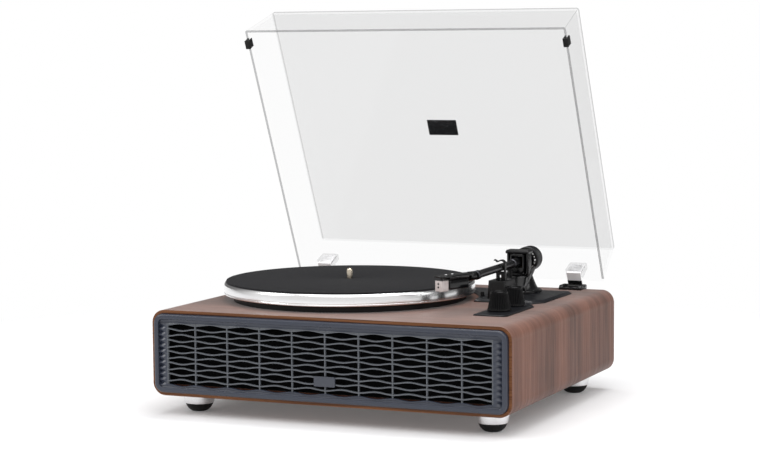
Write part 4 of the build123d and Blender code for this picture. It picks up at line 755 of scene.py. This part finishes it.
knob_black = satin_plastic("knob_black", (0.0015, 0.0015, 0.002), 0.34, 900, 0.00001, 0.15)
side_share = np.linspace(0, 1, 16)
side_heights = FLUTES_LOW + 0.985 * (KNOB_TOP - 3.0 - KNOB_BOTTOM) * side_share
knob_profile = [
    (0, 101.5),
    (3, 101.5),
    (3, KNOB_BOTTOM + 6),
    (10, KNOB_BOTTOM + 6),
    (11, KNOB_BOTTOM + 0.2),
    (11.3, KNOB_BOTTOM),
    (13.1, KNOB_BOTTOM),
    (13.45, KNOB_BOTTOM + 0.4),
    *zip(13.35 - 3.45 * side_share**0.95, side_heights),
    (9.9, KNOB_TOP - 1.3),
    (9.75, KNOB_TOP - 0.5),
    (9.2, KNOB_TOP),
    (8.3, KNOB_TOP),
    (7.9, KNOB_TOP - 0.3),
    (7.4, KNOB_TOP - 1.6),
    (6.9, KNOB_TOP - 1.9),
    (0, KNOB_TOP - 1.9),
]
for name, knob_y in (("knob_front", -0.0938), ("knob_rear", -0.0468)):
    fluted = turned(knob_profile, (KNOB_X, knob_y, 0), segments=288, waist=flutes)
    knob = skin(f"fluted_{name}", [fluted])
    settle(knob, name, [name], knob_black, 30)

# ---- Tone arm base, housing, rest and lift -------------------------------------------------
# A black bell with a flange carries the pivot housing. A block in front of it holds the
# wire-like rest clip, the lift platform and its lever.

pivot = np.array([0.127, 0.0697, 0.1615])
lean = math.radians(2)
forward = np.array([math.sin(lean), -math.cos(lean), 0])
sideways = np.array([math.cos(lean), math.sin(lean), 0])
bell_share = np.linspace(0, 1, 12)
base_profile = [
    (12, 125.35), (26.9, 125.35), (27.2, 125.7), (27.2, 127.5), (26.7, 128.2),
    (25.4, 129.0), (23.6, 129.4),
    *zip(22.6 - 6.4 * bell_share**0.8, 129.9 + 14.2 * bell_share),
    (15.9, 144.7), (15.5, 145.0), (5, 145.0), (5, 133.0), (8, 133.0), (12, 128.3), (12, 125.35),
]
arm_black = satin_plastic("arm_black", (0.0035, 0.0035, 0.004), 0.24, 1100, 0.000008, 0.35)
bell = skin("arm_bell", [turned(base_profile, (pivot[0], pivot[1], 0), segments=120)])
settle(bell, "cabinet", ["arm_base"], arm_black)
moulded("pivot_housing", "arm_housing", "cabinet", arm_black, 0.35)
moulded("housing_cap", "arm_housing_cap", "cabinet", arm_black, 0.3)
moulded("rest_block", "arm_rest_block", "cabinet", soft_black, 0.4)
moulded("rest_clip", "arm_rest_clip", "cabinet", soft_black, 0.25)
moulded("lift_platform", "cue_platform", "cue_platform", soft_black, 0.25)
moulded("lift_lever", "cue_lever", "cue_lever", black_enamel, 0.35, 3)

# ---- Tone arm: yoke, tube, headshell, cartridge and stylus ---------------------------------
# A straight anodised tube pivots in the yoke on two steel pins. At its front a locking collar
# holds the angled headshell, with a black cartridge and a pale replaceable stylus.

moulded("arm_gimbal", "arm_yoke", "arm_swivel", arm_black, 0.3)
arm_anodised = satin_metal("arm_anodised", (0.050, 0.050, 0.055), 0.30, 500)
tube_profile = [
    (0, -54), (3.6, -54), (4, -53.6), (4, -6), (4.9, -6), (5.5, -5.3), (5.5, 20), (5.2, 21),
    (5.2, 22), (5.5, 23), (5.5, 27.2), (4.9, 28), (4.5, 28.4), (4.5, 149), (5.0, 149.2),
    (5.3, 149.7), (5.3, 151.4), (5.0, 151.7), (5.3, 152.0), (5.3, 156.6), (4.9, 157.4),
    (4.2, 158), (0, 158),
]
tube = skin("arm_wand", [turned(tube_profile, pivot, forward, sideways, 64)])
settle(tube, "tone_arm", ["arm_tube"], arm_anodised)
moulded("head_carrier", "headshell", "tone_arm", arm_black, 0.3)
moulded("pickup_body", "cartridge", "tone_arm", gloss_black, 0.35)


def pale_stylus():
    """Pale pink-white plastic, glossy, with a slight warmth inside."""
    material, shader, link = shader_for("pale_stylus", (0.50, 0.45, 0.44), 0.28)
    shade = cloud(material, 160, detail=2)
    tone = ramp(material, shade, [(0.3, (0.46, 0.41, 0.40)), (0.7, (0.56, 0.51, 0.50))])
    link(tone, shader.inputs["Base Color"])
    return material


moulded("stylus_block", "stylus", "tone_arm", pale_stylus(), 0.5, 3)

# Two screws through the headshell's slots hold the cartridge.
head_offset = math.radians(22)
head_forward = np.array([-math.sin(head_offset), -math.cos(head_offset), 0])
head_across = np.array([math.cos(head_offset), -math.sin(head_offset), 0])
head_joint = pivot + forward * 0.158
screw_profile = [(0, 4.3), (2.0, 4.3), (2.1, 4.9), (1.8, 5.3), (0.7, 5.4), (0.6, 4.9), (0, 4.9)]
screw_places = [head_joint + head_forward * along for along in (0.038, 0.048)]
screws = skin(
    "cartridge_screws", [turned(screw_profile, place, segments=24) for place in screw_places]
)
settle(screws, "tone_arm", [], bright_steel)

# Two small dark bosses mark the front of the stylus block.
stylus_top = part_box("stylus")[1][2]
boss_profile = [(0, 60.75), (1.0, 60.75), (1.25, 60.6), (1.25, 60.2), (0, 60.2)]
boss_places = [(*head_joint[:2], stylus_top - drop) for drop in (0.0034, 0.0072)]
bosses = skin(
    "stylus_bosses",
    [turned(boss_profile, place, head_forward, head_across, 24) for place in boss_places],
)
settle(bosses, "tone_arm", [], soft_black)

# ---- Counterweight and dial ----------------------------------------------------------------
# A black ribbed weight screws along the arm's stub. The dial ring in front of it has white
# marks, and a grey line runs round the weight behind the dial.

WEIGHT_RADIUS = 15.0
GRIP_FRONT, GRIP_BACK = -30.6, -44.7  # mm along the arm; behind the pivot is negative
GRIP_RIBS, GRIP_DEPTH = 90, 0.35


def ribbed_grip(angle, radius, height):
    """Ribs along the weight: 90 shallow grooves a turn between its two smooth edges."""
    on_side = (radius > WEIGHT_RADIUS - 0.8) & (height < GRIP_FRONT) & (height > GRIP_BACK)
    fade = np.clip(np.minimum(GRIP_FRONT - height, height - GRIP_BACK) / 0.6, 0, 1)
    groove = GRIP_DEPTH * fade * (0.5 + 0.5 * np.cos(GRIP_RIBS * angle))
    return np.where(on_side, radius - groove, radius), height


weight_profile = [
    (7.05, -27.0), (13.6, -27.0), (14.4, -27.3), (15.0, -28.2), (15.0, -29.4),
    (14.6, -29.8), (14.6, -30.2),
    *[(WEIGHT_RADIUS, height) for height in np.linspace(GRIP_FRONT, GRIP_BACK, 12)],
    (15.0, -45.3), (14.4, -46.2), (13.6, -46.5), (7.05, -46.5), (7.05, -27.0),
]
weight_black = satin_plastic("weight_black", (0.003, 0.003, 0.0035), 0.34, 900, 0.00001, 0.3)
ribbed = turned(weight_profile, pivot, forward, sideways, 360, ribbed_grip)
weight = skin("ribbed_weight", [ribbed])
settle(weight, "counterweight", ["counterweight"], weight_black, 30)
grey_line = satin_metal("grey_line", (0.30, 0.30, 0.31), 0.35)
line_profile = [
    (14.5, -29.85), (14.75, -29.85), (14.75, -30.15), (14.5, -30.15), (14.5, -29.85),
]
line_ring = skin("weight_line", [turned(line_profile, pivot, forward, sideways, 120)])
settle(line_ring, "counterweight", [], grey_line)
dial_profile = [
    (7.3, -21.0), (11.7, -21.0), (12.1, -21.3), (12.9, -25.1), (13.2, -26.5), (13.0, -26.7),
    (7.3, -26.7), (7.3, -21.0),
]
dial = skin("force_dial", [turned(dial_profile, pivot, forward, sideways, 120)])
settle(dial, "weight_dial", ["weight_dial"], gloss_black)

# Each mark is a thin bent plate: its radius follows the dial's cone, with its ends sunk in.
MARKS = 20
cone_heights, cone_radii = [21.3, 25.1], [12.1, 12.9]
raised = np.array([-0.1, 0.06, 0.06, -0.1])[:, None]
marks = []
for number in range(MARKS):
    far, half_angle = (-24.9, 0.05) if number % 4 == 0 else (-23.5, 0.035)
    angles = number * 2 * math.pi / MARKS + np.array([[-half_angle, half_angle]])
    heights = np.array([-21.5, -21.5, far, far])[:, None]
    radii = np.interp(-heights, cone_heights, cone_radii) + raised
    ring = np.cos(angles)[..., None] * sideways
    ring = ring + np.sin(angles)[..., None] * np.cross(forward, sideways)
    grid = pivot + (heights[..., None] * forward + radii[..., None] * ring) / 1000
    marks.append((grid, False, False))
white_print = satin_plastic("white_print", (0.75, 0.75, 0.74), 0.5)
settle(skin("dial_marks", marks), "weight_dial", [], white_print)

# ---- Lid -----------------------------------------------------------------------------------
# A clear acrylic cover with drafted sides, hinged at the back. Two rubber bumpers clip on its
# front rim and a small blank black plate is stuck to the middle of its top.

LID_LEAN = math.radians(64.9)
LID_UP = (0, math.sin(LID_LEAN), math.cos(LID_LEAN))
LID_OUT = (0, -math.cos(LID_LEAN), math.sin(LID_LEAN))
HINGE_LINE = (0, 0.1540, 0.1236)


def along_lid(material, direction):
    """Distance from the middle of the hinge line along a direction, in metres."""
    nodes, link = material.node_tree.nodes, material.node_tree.links.new
    place = nodes.new("ShaderNodeTexCoord")
    moved = nodes.new("ShaderNodeVectorMath")
    moved.operation = "SUBTRACT"
    moved.inputs[1].default_value = HINGE_LINE
    along = nodes.new("ShaderNodeVectorMath")
    along.operation = "DOT_PRODUCT"
    along.inputs[1].default_value = direction
    link(place.outputs["Object"], moved.inputs[0])
    link(moved.outputs["Vector"], along.inputs[0])
    return along.outputs["Value"]


WALL_FOOT, WALL_HEIGHT = 0.0024, 0.0685  # from the hinge line, and up to the top's underside
SIDE_DRAFT, FRONT_DRAFT = 0.0058, 0.00675  # how far the walls lean in over their height
OUTER_SIDE, OUTER_FRONT, OUTER_TOP = 0.2058, 0.3478, 0.0697  # 1.2 mm inside each outer face
RIM_HEIGHT, RIM_START = 0.0025, 0.0112  # the open rim's height, and where it starts
PANEL_HEIGHT = 0.0675  # above this is the top panel


def clear_acrylic(name, body, panel, slanted, line):
    """Clear cast acrylic: a faint grey, a little more in the top panel and where it is seen
    at a slant, with thin grey lines where light leaves it: at the rim, and along the outer
    edges of the sides and front. A point is on an edge if it is within 1.2 mm of two outer
    faces, and a drafted face lies inwards by its draft times the point's share of the height."""
    material, shader, link = shader_for(name, (0.14, 0.145, 0.15), 0.05, Specular_IOR_Level=0.5)

    def do(operation, *terms):
        """Arithmetic in this material."""
        return arithmetic(material, operation, *terms)

    height = along_lid(material, LID_UP)
    reach = along_lid(material, LID_OUT)
    across = do("ABSOLUTE", along_lid(material, (1, 0, 0)))
    share = do("MULTIPLY_ADD", height, 1 / WALL_HEIGHT, -WALL_FOOT / WALL_HEIGHT)
    near_side = do("GREATER_THAN", do("MULTIPLY_ADD", share, SIDE_DRAFT, across), OUTER_SIDE)
    near_front = do("GREATER_THAN", do("MULTIPLY_ADD", share, FRONT_DRAFT, reach), OUTER_FRONT)
    near_top = do("GREATER_THAN", height, OUTER_TOP)
    faces_near = do("ADD", do("ADD", near_side, near_front), near_top)
    on_edge = do("GREATER_THAN", faces_near, 1.5)
    low_down = do("LESS_THAN", height, RIM_HEIGHT)
    on_rim = do("MULTIPLY", low_down, do("GREATER_THAN", reach, RIM_START))
    drawn = do("MULTIPLY", do("MAXIMUM", do("MULTIPLY", on_edge, 0.45), on_rim), line)
    in_panel = do("MULTIPLY", do("GREATER_THAN", height, PANEL_HEIGHT), panel)
    slant = material.node_tree.nodes.new("ShaderNodeLayerWeight")
    slant.inputs["Blend"].default_value = 0.28
    haze = spread(material, slant.outputs["Facing"], body, slanted, 0.45, 1.0)
    opacity = do("MINIMUM", do("ADD", do("ADD", haze, in_panel), drawn), 1.0)
    link(opacity, shader.inputs["Alpha"])
    smear = cloud(material, 6, detail=2)
    link(spread(material, smear, 0.03, 0.07, 0.45, 0.75), shader.inputs["Roughness"])
    return material


lid_clear = clear_acrylic("clear_acrylic", body=0.018, panel=0.095, slanted=0.10, line=0.55)
socket_clear = clear_acrylic("clear_socket", body=0.12, panel=0.0, slanted=0.70, line=0.0)
finish_node("lid", lid_clear)
finish_node("hinge_sockets", socket_clear)
moulded("lid_badge", "lid_plate", "lid", gloss_black, 0.2)
moulded("rim_bumpers", "lid_bumpers", "lid", black_rubber, 0.3)

# ---- Hinges --------------------------------------------------------------------------------
# Black moulded hinge bases screwed to the deck. Their plated leaves are black at the root
# and bright where they slide into the clear sockets on the lid.

moulded("hinge_blocks", "hinge_bases", "cabinet", soft_black, 0.3)


def part_blackened_steel():
    """Pale plated plate inside the clear socket, black within 8 mm of the hinge line."""
    material, shader, link = shader_for("part_blackened_steel", (0.6, 0.6, 0.61), 0.35)
    bright = arithmetic(material, "GREATER_THAN", along_lid(material, LID_OUT), 0.008)
    tone = ramp(material, bright, [(0.0, (0.004, 0.004, 0.004)), (1.0, (0.90, 0.90, 0.91))])
    link(tone, shader.inputs["Base Color"])
    relief(material, shader, cloud(material, 400, detail=2), 0.00001, 0.4)
    return material


moulded("hinge_tongues", "hinge_leaves", "lid", part_blackened_steel(), 0.2)

# ---- Back panel fittings -------------------------------------------------------------------
# Nickel-plated phono sockets, a black power inlet and a rocker switch.

nickel = satin_metal("nickel_plate", (0.70, 0.68, 0.64), 0.18)
finish_node("output_jacks", nickel)
finish_node("power_inlet", soft_black)
moulded("rocker_switch", "power_rocker", "power_rocker", gloss_black, 0.3)
